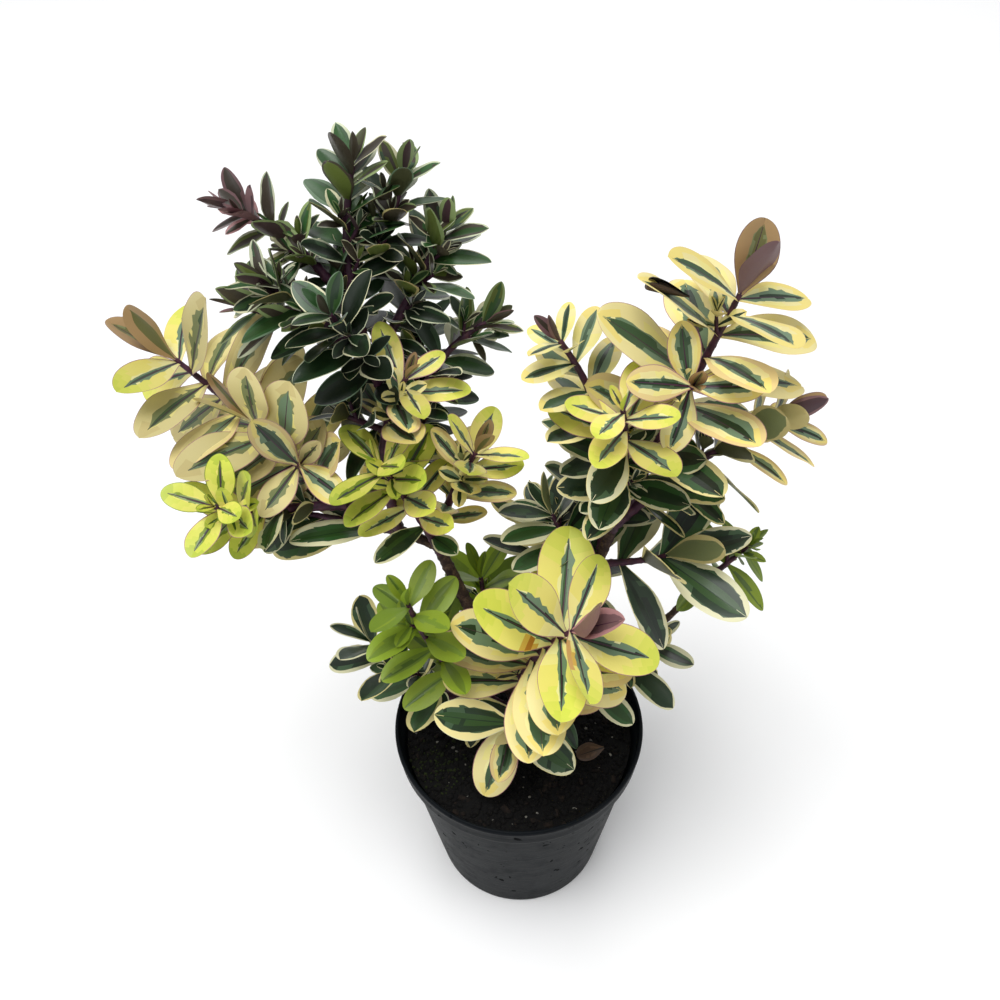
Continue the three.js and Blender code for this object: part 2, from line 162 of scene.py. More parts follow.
# A Geometry Nodes tree with named inputs.
class Rig(Desk):
    def __init__(self, name, inputs):
        self.tree = bpy.data.node_groups.new(name, "GeometryNodeTree")
        sockets = self.tree.interface
        sockets.new_socket("Geometry", in_out="INPUT", socket_type="NodeSocketGeometry")
        for label, kind in inputs.items():
            sockets.new_socket(label, in_out="INPUT", socket_type=f"NodeSocket{kind}")
        sockets.new_socket("Geometry", in_out="OUTPUT", socket_type="NodeSocketGeometry")
        self.entry = self.tree.nodes.new("NodeGroupInput")
        self.exit = self.tree.nodes.new("NodeGroupOutput")

    def given(self, label):
        return Wire(self, self.entry.outputs[label])

    def attribute(self, label):
        return self.make("GeometryNodeInputNamedAttribute", {"data_type": "FLOAT"}, {"Name": label})

    def finish(self, mesh, paintLabel):
        whole = self.make("GeometryNodeRealizeInstances", {}, {"Geometry": mesh})
        smooth = self.make("GeometryNodeSetShadeSmooth", {}, {"Geometry": whole})
        painted = self.make("GeometryNodeSetMaterial", {}, {
            "Geometry": smooth, "Material": self.given(paintLabel)})
        self.tree.links.new(painted.socket, self.exit.inputs["Geometry"])

    # The object's mesh becomes what the tree makes of it, and no modifier stays.
    def grow(self, item, values):
        modifier = item.modifiers.new(self.tree.name, "NODES")
        modifier.node_group = self.tree
        for socket in self.tree.interface.items_tree:
            if socket.name in values:
                modifier[socket.identifier] = values[socket.name]
        settle(item)


# The colour written as #rrggbb, in linear light.
def linear(text, tone=1.0):
    shares = [int(text[k:k + 2], 16) / 255 for k in (1, 3, 5)]
    light = [s / 12.92 if s <= 0.04045 else ((s + 0.055) / 1.055) ** 2.4 for s in shares]
    return (*(min(1.0, value * tone) for value in light), 1.0)


def turnsOf(count):
    return [2 * math.pi * k / count for k in range(count)]


def addObject(name, data):
    item = bpy.data.objects.new(name, data)
    bpy.context.scene.collection.objects.link(item)
    return item


# Applies every modifier of an object to its mesh.
def settle(item):
    mesh = bpy.data.meshes.new_from_object(item.evaluated_get(bpy.context.evaluated_depsgraph_get()))
    mesh.name = item.name
    item.modifiers.clear()
    item.data = mesh


def shadeSmooth(mesh, sharpest=60):
    mesh.shade_smooth()
    mesh.set_sharp_from_angle(angle=math.radians(sharpest))


def setAttribute(mesh, name, values):
    mesh.attributes.new(name, "FLOAT", "POINT").data.foreach_set("value", values)


# Gathers many small shapes into one mesh, each face with its own colour slot.
class Gather:
    def __init__(self):
        self.points, self.faces, self.slots, self.colours = [], [], [], []
        self.count = 0

    def slotOf(self, colour):
        if colour not in self.colours:
            self.colours.append(colour)
        return self.colours.index(colour)

    def add(self, points, faces, colours):
        self.points.append(points)
        self.faces += [[corner + self.count for corner in face] for face in faces]
        self.slots += [self.slotOf(colour) for colour in colours]
        self.count += len(points)

    def build(self, name, paintOf):
        mesh = bpy.data.meshes.new(name)
        mesh.from_pydata((np.vstack(self.points) * mm).tolist(), [], self.faces)
        for colour in self.colours:
            mesh.materials.append(paintOf(colour))
        mesh.polygons.foreach_set("material_index", self.slots)
        shadeSmooth(mesh)
        return addObject(name, mesh)


# Rings of a lathe, closed at the axis where a profile starts and ends there.
def lathe(name, profile, around):
    points, faces, rings = [], [], []
    for radius, height in profile:
        if radius == 0:
            rings.append([len(points)] * around)
            points.append((0, 0, height * mm))
            continue
        rings.append(list(range(len(points), len(points) + around)))
        points += [(radius * mm * math.cos(turn), radius * mm * math.sin(turn), height * mm)
                   for turn in turnsOf(around)]
    for low, high in zip(rings, rings[1:]):
        for k in range(around):
            n = (k + 1) % around
            face = [low[k], low[n], high[n], high[k]]
            faces.append([corner for i, corner in enumerate(face) if corner not in face[:i]])
    mesh = bpy.data.meshes.new(name)
    mesh.from_pydata(points, [], faces)
    return addObject(name, mesh)


def fitted(item, nodes=()):
    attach(item, "root")
    if nodes:
        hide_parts(*nodes)


# Camera, light and floor.
view = dict(lens=32.4, nearest=10, place=(-7, -276, 512), pitch=41.9, roll=-1.4)  # pitch is below level
camera = addObject("camera", bpy.data.cameras.new("camera"))
camera.data.lens = view["lens"]
camera.data.clip_start = view["nearest"] * mm
camera.matrix_world = (
    Matrix.Translation(Vector(view["place"]) * mm)
    @ Matrix.Rotation(math.radians(90 - view["pitch"]), 4, "X")
    @ Matrix.Rotation(math.radians(view["roll"]), 4, "Z"))
bpy.context.scene.camera = camera

lampAim = Vector((0, 0, 0.2))
lamps = {  # place in metres, side length, power in watts
    "overhead": ((-1.2, -1.0, 6.5), 4.2, 345),
    "left": ((-1.7, -0.6, 0.9), 1.4, 4),
    "right": ((1.7, -0.3, 1.1), 1.4, 3),
    "behind": ((0.2, 2.6, 1.8), 1.6, 9),
}
for name, (place, size, power) in lamps.items():
    lamp = bpy.data.lights.new(name, "AREA")
    lamp.size = size
    lamp.energy = power
    item = addObject(name, lamp)
    item.location = place
    item.rotation_euler = (lampAim - Vector(place)).to_track_quat("-Z", "Y").to_euler()

sky = {"Color": (0.97, 0.98, 1, 1), "Strength": 0.42}
world = bpy.data.worlds.new("studio")
world.use_nodes = True
for label, value in sky.items():
    world.node_tree.nodes["Background"].inputs[label].default_value = value
bpy.context.scene.world = world
bpy.context.scene.view_settings.view_transform = "Standard"

floor = dict(reach=6, colour="#fbfbfb", roughness=0.9)
floorMesh = bpy.data.meshes.new("floor")
floorMesh.from_pydata([
    (x * floor["reach"], y * floor["reach"], 0) for x, y in ((-1, -1), (1, -1), (1, 1), (-1, 1))
], [], [(0, 1, 2, 3)])
floorMesh.materials.append(
    Paint("floorWhite", linear(floor["colour"]), Roughness=floor["roughness"]).material)
addObject("floor", floorMesh)
print("camera, light and floor are set")


# A limb sets out from a share of its parent's length and bends evenly from its first heading and
# lift to its last. Headings are degrees round from +X towards +Y, and lift is degrees above level.
limbs = [
    dict(name="stock", length=19, heading=(90, 90), lift=(87, 87), radius=(6.5, 4.6)),
    dict(name="bough_left", parent="stock", at=1, length=117, heading=(172, 151), lift=(74, 67),
         radius=(3.3, 2.6)),
    dict(name="bough_right", parent="stock", at=0.9, length=130, heading=(5, 32), lift=(68, 69),
         radius=(3.1, 2.4)),
    dict(name="bough_front", parent="stock", at=0.75, length=38, heading=(-90, -92), lift=(48, 85),
         radius=(2.7, 2.3)),
    dict(name="bough_leader", parent="bough_left", at=1, length=83, heading=(126, 130), lift=(70, 60),
         radius=(2.4, 1.9)),
    dict(name="bough_side", parent="bough_left", at=0.97, length=56, heading=(173, 167), lift=(26, 30),
         radius=(2.3, 1.9)),
    dict(name="bough_outer", parent="bough_right", at=0.45, length=82, heading=(5, 25), lift=(-47, 70),
         radius=(2, 1.6)),
]

# A leafy shoot grows like a limb and carries pairs of leaves, each pair a quarter turn on from the
# last. Leaf is the longest leaf's length and width, and dress goes from its foot to its tip. Sprigs
# is the share of its leaves with a side twig, and lightShare how far a leaf turns to the light.
crown = dict(lightShare=0.6, sprigs=0.45)
bushy = dict(sprigs=0.6)
facing = dict(lightShare=0.8, light=(-0.15, -0.85, 0.5))
shoots = [
    dict(mass="front", parent="bough_front", at=1, length=69, heading=(-28, -27), lift=(86, 49), pairs=10,
         roll=115, leaf=(46.4, 25), tipLeaf=34, open=(88, 59), dress="cream cream yellow yellow",
         budDress="mauve", budSize=0.72, budSlimness=1.0, lightShare=0.4),
    dict(facing, mass="left_tip", parent="bough_side", at=1, length=85, heading=(137, 172), lift=(28, 47),
         pairs=8, roll=103, leaf=(43, 23), tipLeaf=34, open=(91, 63),
         dress="tanned tanned tanned tanned tanned yellow", budDress="budTan", budSize=0.9,
         budSlimness=1.05),
    dict(facing, mass="left_tip", parent="bough_side", at=0.92, length=46, heading=(150, 165),
         lift=(48, 40), pairs=5, roll=80, leaf=(41, 22), tipLeaf=33, open=(75, 55),
         dress="cream tanned tanned", budDress="tanned budTan"),
    dict(facing, mass="left_tip", parent="left_tip", at=0.2, length=15, heading=(-80, -60), lift=(30, 45),
         pairs=2, roll=45, leaf=(29, 14), tipLeaf=25, open=(60, 45), dress="tanned cream",
         budDress="tanned budTan", lightShare=0.6),
    dict(mass="right_tip", parent="bough_right", at=1, length=110, heading=(19, 27), lift=(66, 64),
         pairs=9, roll=86, leaf=(48, 23), tipLeaf=37, open=(70, 72), dress="wide cream cream cream",
         budDress="budTan mauve", budSize=0.7, budSlimness=1.35),
    dict(mass="right_tip", parent="right_tip", at=0.62, length=20, heading=(-110, -90), lift=(30, 42),
         pairs=3, roll=10, leaf=(26, 13.5), tipLeaf=21, open=(80, 60), dress="cream", budDress="budTan",
         lightShare=0.5),
    dict(mass="right_front", parent="bough_right", at=0.98, length=71, heading=(-55, -137), lift=(86, 74),
         pairs=9, roll=25, leaf=(30, 15.5), tipLeaf=19, open=(80, 60), dress="wide wide yellow yellow",
         budDress="yellow", budSize=0.6, lightShare=0.4),
    dict(mass="left_front", parent="bough_left", at=0.93, length=62, heading=(194, 193), lift=(73, 64),
         pairs=9, roll=30, leaf=(27, 13), tipLeaf=23, open=(78, 60), dress="wide yellow fresh fresh",
         budDress="fresh", budSize=0.5, lightShare=0.6, sprigs=0.1),
    dict(mass="left_inner", parent="bough_left", at=1, length=54, heading=(25, -25), lift=(71, 64),
         pairs=7, roll=60, leaf=(26, 13), tipLeaf=21, open=(55, 50), dress="cream cream yellow",
         budDress="budTan", lightShare=0.4),
    # In the crown each shoot's dress runs from shade at its foot, painted shade, to crest at its tip,
    # partly painted light.
    dict(crown, mass="leader", parent="bough_leader", at=1, length=80, heading=(139, 51), lift=(66, 66),
         pairs=12, roll=20, leaf=(24, 12), tipLeaf=16, open=(75, 35), dress="shade dark dark crest",
         budDress="plum crest"),
    dict(crown, mass="leader", parent="leader", at=0.35, length=54, heading=(38, 51), lift=(46, 60),
         pairs=8, roll=50, leaf=(21, 10), tipLeaf=14, open=(65, 35), dress="shade dark crest"),
    dict(crown, mass="leader", parent="leader", at=0.2, length=69, heading=(141, 166), lift=(60, 18),
         pairs=9, roll=40, leaf=(20, 10), tipLeaf=14, open=(65, 40), dress="dark crest crest mauve",
         budDress="mauve"),
    dict(crown, mass="leader_right", parent="bough_leader", at=1, length=62, heading=(47, 27),
         lift=(45, 55), pairs=10, roll=10, leaf=(25, 11.5), tipLeaf=16, open=(75, 35),
         dress="shade dark dark crest", budDress="crest dark"),
    dict(crown, mass="leader_low", parent="bough_leader", at=0.45, length=73, heading=(79, 15),
         lift=(75, 20), pairs=9, roll=30, leaf=(25.5, 12), tipLeaf=15.5, open=(75, 35),
         dress="shade dark crest", budDress="plum"),
    dict(crown, mass="leader_left", parent="bough_leader", at=0.95, length=58, heading=(181, 169),
         lift=(58, 35), pairs=10, roll=15, leaf=(26, 12), tipLeaf=16.5, open=(75, 35),
         dress="shade dark dark crest", budDress="crest"),
    dict(crown, mass="leader_left", parent="leader_left", at=0.25, length=48, heading=(161, 165),
         lift=(30, 2), pairs=7, roll=45, leaf=(23, 10.5), tipLeaf=14.5, open=(65, 40),
         dress="dark crest crest", budDress="mauve"),
    dict(mass="leader_core", parent="bough_leader", at=0.6, length=26, heading=(192, 183), lift=(41, 27),
         pairs=5, roll=30, leaf=(24, 11), tipLeaf=18, open=(80, 50), dress="shade", sprigs=0.45),
    dict(crown, mass="leader_front", parent="bough_leader", at=0.8, length=52, heading=(205, 215),
         lift=(75, 62), pairs=8, roll=10, leaf=(26, 12.5), tipLeaf=16, open=(75, 40),
         dress="shade shade dark"),
    dict(mass="left_low", parent="bough_side", at=0.8, length=65, heading=(179, 249), lift=(-3, 51),
         pairs=9, roll=22, leaf=(25, 13.5), tipLeaf=19.5, open=(50, 58), dress="wide fresh fresh",
         budDress="fresh", budSize=0.5, lightShare=0.4),
    dict(mass="left_under", parent="bough_side", at=0.25, length=48, heading=(168, 172), lift=(8, 8),
         pairs=5, roll=20, leaf=(46, 19), tipLeaf=36, open=(28, 18), dress="wide"),
    dict(mass="left_upper", parent="bough_side", at=0.35, length=78, heading=(184, -33), lift=(85, 61),
         pairs=12, roll=20, leaf=(34, 15), tipLeaf=20, open=(75, 60), dress="cream cream cream yellow",
         budDress="budTan", budSize=0.7, lightShare=0.4),
    dict(mass="right_inner", parent="bough_right", at=0.95, length=98, heading=(109, 184), lift=(89, 57),
         pairs=11, roll=15, leaf=(27.5, 13.5), tipLeaf=15, open=(75, 50), dress="wide cream cream",
         budDress="mauve", budSize=1),
    dict(mass="right_outer", parent="bough_right", at=0.97, length=83, heading=(21, 9), lift=(38, 24),
         pairs=11, roll=45, leaf=(31, 15), tipLeaf=22.5, open=(75, 40), dress="wide wide cream",
         budDress="mauve budTan", budSize=1.1, lightShare=0.4),
    dict(bushy, mass="right_back", parent="bough_right", at=0.75, length=34, heading=(144, 133),
         lift=(40, 50), pairs=7, roll=0, leaf=(32, 14), tipLeaf=24, open=(80, 50), dress="wide"),
    dict(mass="right_low", parent="bough_right", at=0.8, length=33, heading=(7, -24), lift=(-7, 38),
         pairs=3, roll=49, leaf=(48.5, 22), tipLeaf=45, open=(66, 38), dress="wide"),
    dict(mass="outer", parent="bough_outer", at=0.9, length=41, heading=(-19, 40), lift=(72, 16), pairs=6,
         roll=166, leaf=(28, 10.5), tipLeaf=17, open=(88, 84), dress="olive"),
    dict(mass="front_low", parent="bough_front", at=0.15, length=34, heading=(-101, -99), lift=(70, 20),
         pairs=4, roll=77, leaf=(38, 20), tipLeaf=36, open=(81, 59), dress="wide wide wide cream wide",
         budDress="cream", lightShare=0.5),
    dict(bushy, mass="base_right", parent="stock", at=0.5, length=87, heading=(-3, 6), lift=(38, 46),
         pairs=7, roll=45, leaf=(31, 14), tipLeaf=20, open=(75, 55), dress="dark wide"),
    dict(mass="front_left", parent="stock", at=0.6, length=118, heading=(193, 201), lift=(50, 79),
         pairs=10, roll=30, leaf=(27, 13), tipLeaf=20, open=(80, 62), dress="wide lime lime"),
    dict(bushy, mass="base_left", parent="stock", at=0.35, length=94, heading=(182, 165), lift=(27, 51),
         pairs=7, roll=0, leaf=(31, 15), tipLeaf=25, open=(70, 50), dress="wide"),
    dict(bushy, mass="low_back", parent="stock", at=0.7, length=84, heading=(139, 111), lift=(67, 71),
         pairs=9, roll=0, leaf=(28, 13), tipLeaf=22, open=(80, 50), dress="wide lime"),
    dict(bushy, mass="back_left", parent="bough_leader", at=0.7, length=46, heading=(59, 87),
         lift=(23, 43), pairs=9, roll=20, leaf=(25, 10), tipLeaf=16, open=(75, 40), dress="shade dark"),
    dict(bushy, mass="back_right", parent="bough_right", at=0.6, length=74, heading=(77, 52),
         lift=(51, 62), pairs=8, roll=40, leaf=(31.5, 14), tipLeaf=20, open=(80, 45), dress="wide"),
    dict(bushy, mass="back_low", parent="bough_right", at=0.3, length=75, heading=(100, 85),
         lift=(45, 60), pairs=8, roll=10, leaf=(32, 14), tipLeaf=22, open=(80, 50), dress="wide"),
    dict(bushy, mass="back_upper", parent="bough_leader", at=0.3, length=56, heading=(95, 90),
         lift=(42, 52), pairs=7, roll=30, leaf=(28, 12), tipLeaf=19, open=(80, 45), dress="shade dark"),
    dict(bushy, mass="back_inner", parent="bough_right", at=0.85, length=60, heading=(85, 80),
         lift=(45, 55), pairs=7, roll=0, leaf=(30, 13), tipLeaf=20, open=(80, 45), dress="wide cream"),
]

shootRule = dict(
    bareShare=0.14,  # of its length, below the first pair
    crowding=1.3,  # pairs draw together towards the tip
    closing=1.5,  # and close up, mostly near the tip
    firstSize=0.75,  # of the longest leaf
    sizeGain=0.8,  # along the whole shoot, up to the longest
    budOpen=14, budSize=0.8, budSlimness=0.8,  # the pair still folded together
    footRadius=1.1, radiusGain=1 / 90, tipRadius=0.8,
)
leafRule = dict(
    rootDepth=0.3,  # past the stem's middle, of the stem's radius
    innerShare=0.3,  # of its length, where a pair and its neighbours crowd
    turnJitter=8, sizeJitter=0.1,
    light=Vector((-0.05, -0.5, 0.86)),  # leaves twist on their stalks to face it
    lightShare=0.62, budLightShare=0.25,
    rollJitter=9,  # degrees about the midrib
    tries=(0, 14, -14, 28, -28),  # degrees round the shoot, for a leaf that would touch something
    clearance=0.3,
)
# Side twigs in the axils, grown by the same rule. A twig dresses like its leaf unless named here.
sprigRule = dict(
    share=0.2, fromHeight=0.12, toHeight=0.86, length=(5, 10), radius=(0.7, 0.5), opening=42,
    rise=15, leaf=(13, 6.4), tipLeaf=9, pairs=2, open=(62, 38),
    dress={"dark": "crest", "plum": "crest"},
)
# The plain leaf that finds its room: shares of its length, and its depth.
blade = dict(fall=0.1, widest=0.66, keel=0.35, depth=1)
pathSteps = 24
pathEnd = 0.9999  # the last share of a path, still inside its last step
groundHeight = 99.8
up = Vector((0, 0, 1))


def mix(first, last, share):
    return first + (last - first) * share


# The same series of shares for the same seed, here and in the solids.
def seededStream(seed):
    state = seed * 7919 + 17
    while True:
        state = (state * 16807) % 2147483647
        yield state / 2147483647


def towards(heading, lift):
    flat = math.cos(math.radians(lift))
    turn = math.radians(heading)
    return Vector((flat * math.cos(turn), flat * math.sin(turn), math.sin(math.radians(lift))))


# A station on a limb's path: its place, the way ahead, a side direction and the limb's radius.
class Station:
    def __init__(self, place, ahead, side, radius):
        self.place, self.ahead, self.side, self.radius = place, ahead, side, radius

    # What leaves the stem here at a turn round it: straight outward, and the way it takes.
    def leaving(self, turn, opening):
        outward = Matrix.Rotation(math.radians(turn), 3, self.ahead) @ self.side
        opening = math.radians(opening)
        return outward, self.ahead * math.cos(opening) + outward * math.sin(opening)


def growPath(start, limb, radius):
    place, path = start.copy(), []
    for k in range(pathSteps + 1):
        share = min(1, (k + 0.5) / pathSteps)
        ahead = towards(mix(*limb["heading"], share), mix(*limb["lift"], share))
        side = path[-1].side if path else ahead.cross(up)
        side = (side - ahead * side.dot(ahead)).normalized()
        path.append(Station(place.copy(), ahead, side, mix(*radius, k / pathSteps)))
        place += ahead * limb["length"] / pathSteps
    return path


def stationAt(path, share):
    spot = min(share, pathEnd) * (len(path) - 1)
    low, high = path[int(spot)], path[int(spot) + 1]
    part = spot - int(spot)
    return Station(
        low.place.lerp(high.place, part), low.ahead.lerp(high.ahead, part).normalized(),
        low.side.lerp(high.side, part).normalized(), mix(low.radius, high.radius, part))


# The leaves of one shoot: crossed pairs that lie wide open low down and close towards the bud.
def leavesOf(shoot, stream):
    rule = shootRule
    longest, widest = shoot["leaf"]
    tipSize = shoot["tipLeaf"] / longest
    leaves = []
    for pair in range(shoot["pairs"] + 1):
        isBud = pair == shoot["pairs"]
        share = 1 if isBud else (pair + 0.5) / shoot["pairs"]
        height = mix(rule["bareShare"], 1, 1 - (1 - share) ** rule["crowding"])
        size = min(1, rule["firstSize"] + rule["sizeGain"] * share, mix(tipSize + 1, tipSize, share))
        opening = mix(*shoot["open"], share ** rule["closing"])
        slimness = 1
        if isBud:
            size = shoot.get("budSize", rule["budSize"]) * tipSize
            opening, slimness = rule["budOpen"], shoot.get("budSlimness", rule["budSlimness"])
        turn = shoot["roll"] + 90 * pair + leafRule["turnJitter"] * (2 * next(stream) - 1)
        for half in (0, 180):
            varied = size * (1 + leafRule["sizeJitter"] * (2 * next(stream) - 1))
            leaves.append(dict(
                height=height, opening=opening, turn=turn + half, share=share, isBud=isBud, pair=pair,
                half=half, length=longest * varied, width=widest * varied * slimness))
    return leaves


# Where a leaf sits, once its turn round the shoot is chosen.
def placeLeaf(path, leaf, extraTurn=0, lightShare=leafRule["lightShare"], light=leafRule["light"]):
    at = stationAt(path, leaf["height"])
    outward, along = at.leaving(leaf["turn"] + extraTurn, leaf["opening"])
    opening = math.radians(leaf["opening"])
    face = at.ahead * math.sin(opening) - outward * math.cos(opening)
    face = face.lerp(light, lightShare)
    face = (face - along * face.dot(along)).normalized()
    root = at.place - outward * leafRule["rootDepth"] * at.radius
    return dict(root=root, along=along, face=face, length=leaf["length"] + at.radius, width=leaf["width"])


# A body that others can be tested against.
class Body:
    def __init__(self, points, faces):
        self.tree = BVHTree.FromPolygons(points, faces)
        self.low = np.min(points, axis=0)
        self.high = np.max(points, axis=0)


# A plain keeled blade, which stands for a leaf while the others find their room.
def bladeOf(spot, extra=0, inner=0):
    root = spot["root"] + spot["along"] * inner * spot["length"]
    length, half = spot["length"] * (1 - inner), spot["width"] / 2 + extra
    across = spot["along"].cross(spot["face"])

    def corner(share, side, lift):
        fall = -blade["fall"] * length * share * share
        return root + spot["along"] * share * length + across * side + spot["face"] * (fall + lift)

    tip = 1 + extra / length
    points = [
        corner(0, 0, extra), *(corner(blade["widest"], side, extra) for side in (-half, half)),
        corner(blade["keel"], 0, -blade["depth"] - 2 * extra),
        *(corner(tip, side, 0) for side in (-half / 2, half / 2))]
    triangles = [(0, 2, 1), (0, 3, 2), (0, 1, 3), (1, 2, 5), (1, 5, 4), (2, 3, 5), (3, 1, 4), (3, 4, 5)]
    return Body(points, triangles)


# A body from rings of points, all with the same count.
def tubeBody(rings):
    around = len(rings[0])
    faces = []
    for low in range(0, (len(rings) - 1) * around, around):
        for k in range(around):
            a, b = low + k, low + (k + 1) % around
            faces += [(a, b, b + around), (a, b + around, a + around)]
    return Body([point for ring in rings for point in ring], faces)


def limbBody(path, around=5, every=6):
    rings = []
    for station in path[::every]:
        third = station.ahead.cross(station.side)
        rings.append([
            station.place + (station.side * math.cos(turn) + third * math.sin(turn)) * station.radius
            for turn in turnsOf(around)])
    return tubeBody(rings)


def latheBody(profile, around=40):
    return tubeBody([
        [(radius * math.cos(turn), radius * math.sin(turn), height) for turn in turnsOf(around)]
        for radius, height in profile])


# The bodies met so far, which says whether another would touch one of them.
class Crowd:
    def __init__(self):
        self.bodies, self.owners = [], []
        self.low, self.high = np.empty((0, 3)), np.empty((0, 3))

    def add(self, body, owner):
        self.bodies.append(body)
        self.owners.append(owner)
        self.low = np.vstack((self.low, body.low))
        self.high = np.vstack((self.high, body.high))

    def meets(self, body, wanted):
        near = np.all((self.low <= body.high) & (self.high >= body.low), axis=1)
        return any(wanted(self.owners[k]) and body.tree.overlap(self.bodies[k].tree)
                   for k in np.flatnonzero(near))


paths = {}
for limb in limbs:
    start = Vector((0, 0, groundHeight))
    if "parent" in limb:
        start = stationAt(paths[limb["parent"]], limb["at"]).place
    paths[limb["name"]] = growPath(start, limb, limb["radius"])

# The pot's rim and the bed of compost, as radius and height, which leaves keep clear of.
obstacles = {
    "pot": [(60, 95), (65.3, 104), (65.3, 110.3), (62.8, 110.3), (60, 95)],
    "compost": [(0.1, 100.2), (14, 100.2), (61, 98.6)],
}
crowd = Crowd()
for name, profile in obstacles.items():
    crowd.add(latheBody(profile), name)
for name, path in paths.items():
    crowd.add(limbBody(path), name)
for shoot in shoots:
    start = stationAt(paths[shoot["parent"]], shoot["at"]).place
    foot = shootRule["footRadius"] + shootRule["radiusGain"] * shoot["length"]
    shoot["path"] = growPath(start, shoot, (foot, shootRule["tipRadius"]))
    shoot["leaves"] = []
    paths.setdefault(shoot["mass"], shoot["path"])
    crowd.add(limbBody(shoot["path"]), shoot["mass"])


# Puts a leaf at the first turn that is clear of every other mass, and of its own if it can be.
def seatLeaf(shoot, leaf):
    mass, path = shoot["mass"], shoot["path"]
    lightShare = shoot.get("lightShare", leafRule["lightShare"])
    light = Vector(shoot.get("light", leafRule["light"]))
    fits = []
    for turn in leafRule["tries"]:
        spot = placeLeaf(path, leaf, turn, lightShare, light)
        if crowd.meets(bladeOf(spot, leafRule["clearance"]), lambda owner: owner != mass):
            continue
        crossing = crowd.meets(bladeOf(spot, 0, leafRule["innerShare"]), lambda owner: owner == mass)
        fits.append((crossing, turn, spot))
        if not crossing:
            break
    if fits:
        crossing, turn, spot = min(fits, key=lambda fit: fit[0])
        crowd.add(bladeOf(spot), mass)
        if leaf["isBud"]:
            spot = placeLeaf(path, leaf, turn, min(lightShare, leafRule["budLightShare"]), light)
        shoot["leaves"].append((leaf, spot))


massNames = list(dict.fromkeys(shoot["mass"] for shoot in shoots))
for order, mass in enumerate(massNames):
    stream = seededStream(order + 1)
    for shoot in shoots:
        if shoot["mass"] == mass:
            for leaf in leavesOf(shoot, stream):
                seatLeaf(shoot, leaf)
leafCount = sum(len(shoot["leaves"]) for shoot in shoots)
print("the shrub has", leafCount, "leaves on", len(shoots), "shoots")


# The hues a leaf is dealt. Every leaf takes one tone of each of its own.
leafHues = {
    "forest": "#152f15", "pine": "#2a4a1d", "deep": "#0c1e0c", "glade": "#2f5728", "celery": "#8fa36a",
    "sage": "#6c8568", "stripe": "#3b5638", "frost": "#c9cfae", "ivory": "#dedbb4", "cream": "#ecdf9c",
    "butter": "#eedb80", "pale": "#f0e8a4", "straw": "#eee38f", "peach": "#e4cb8b", "lemon": "#ebdf77",
    "limePale": "#e3e069", "limeSoft": "#dadc5c", "lime": "#d1d853", "limeMid": "#6d8529",
    "limeDeep": "#8aa32c", "leafGreen": "#4d661c", "limeDull": "#7f9325", "spring": "#b9c845",
    "moss": "#5f6d2e", "tan": "#d3c385", "tanShade": "#bfa86c", "tanPatch": "#7d8558", "rib": "#45203a",
    "plum": "#4a343a", "umber": "#40382c", "mauve": "#7a5a5c", "rosy": "#b08080", "olive": "#47492c",
    "creamTan": "#ddd092", "budTan": "#a98a5e", "budGreen": "#6a6a3c", "rust": "#b9761f",
    "ochre": "#d9b04a", "blush": "#d3a25c", "char": "#120d0b", "dead": "#4a3524", "litter": "#5d4430",
}
leafTones = (0.8, 1.0, 1.12)
toneChoices = (0, 1, 1, 2)

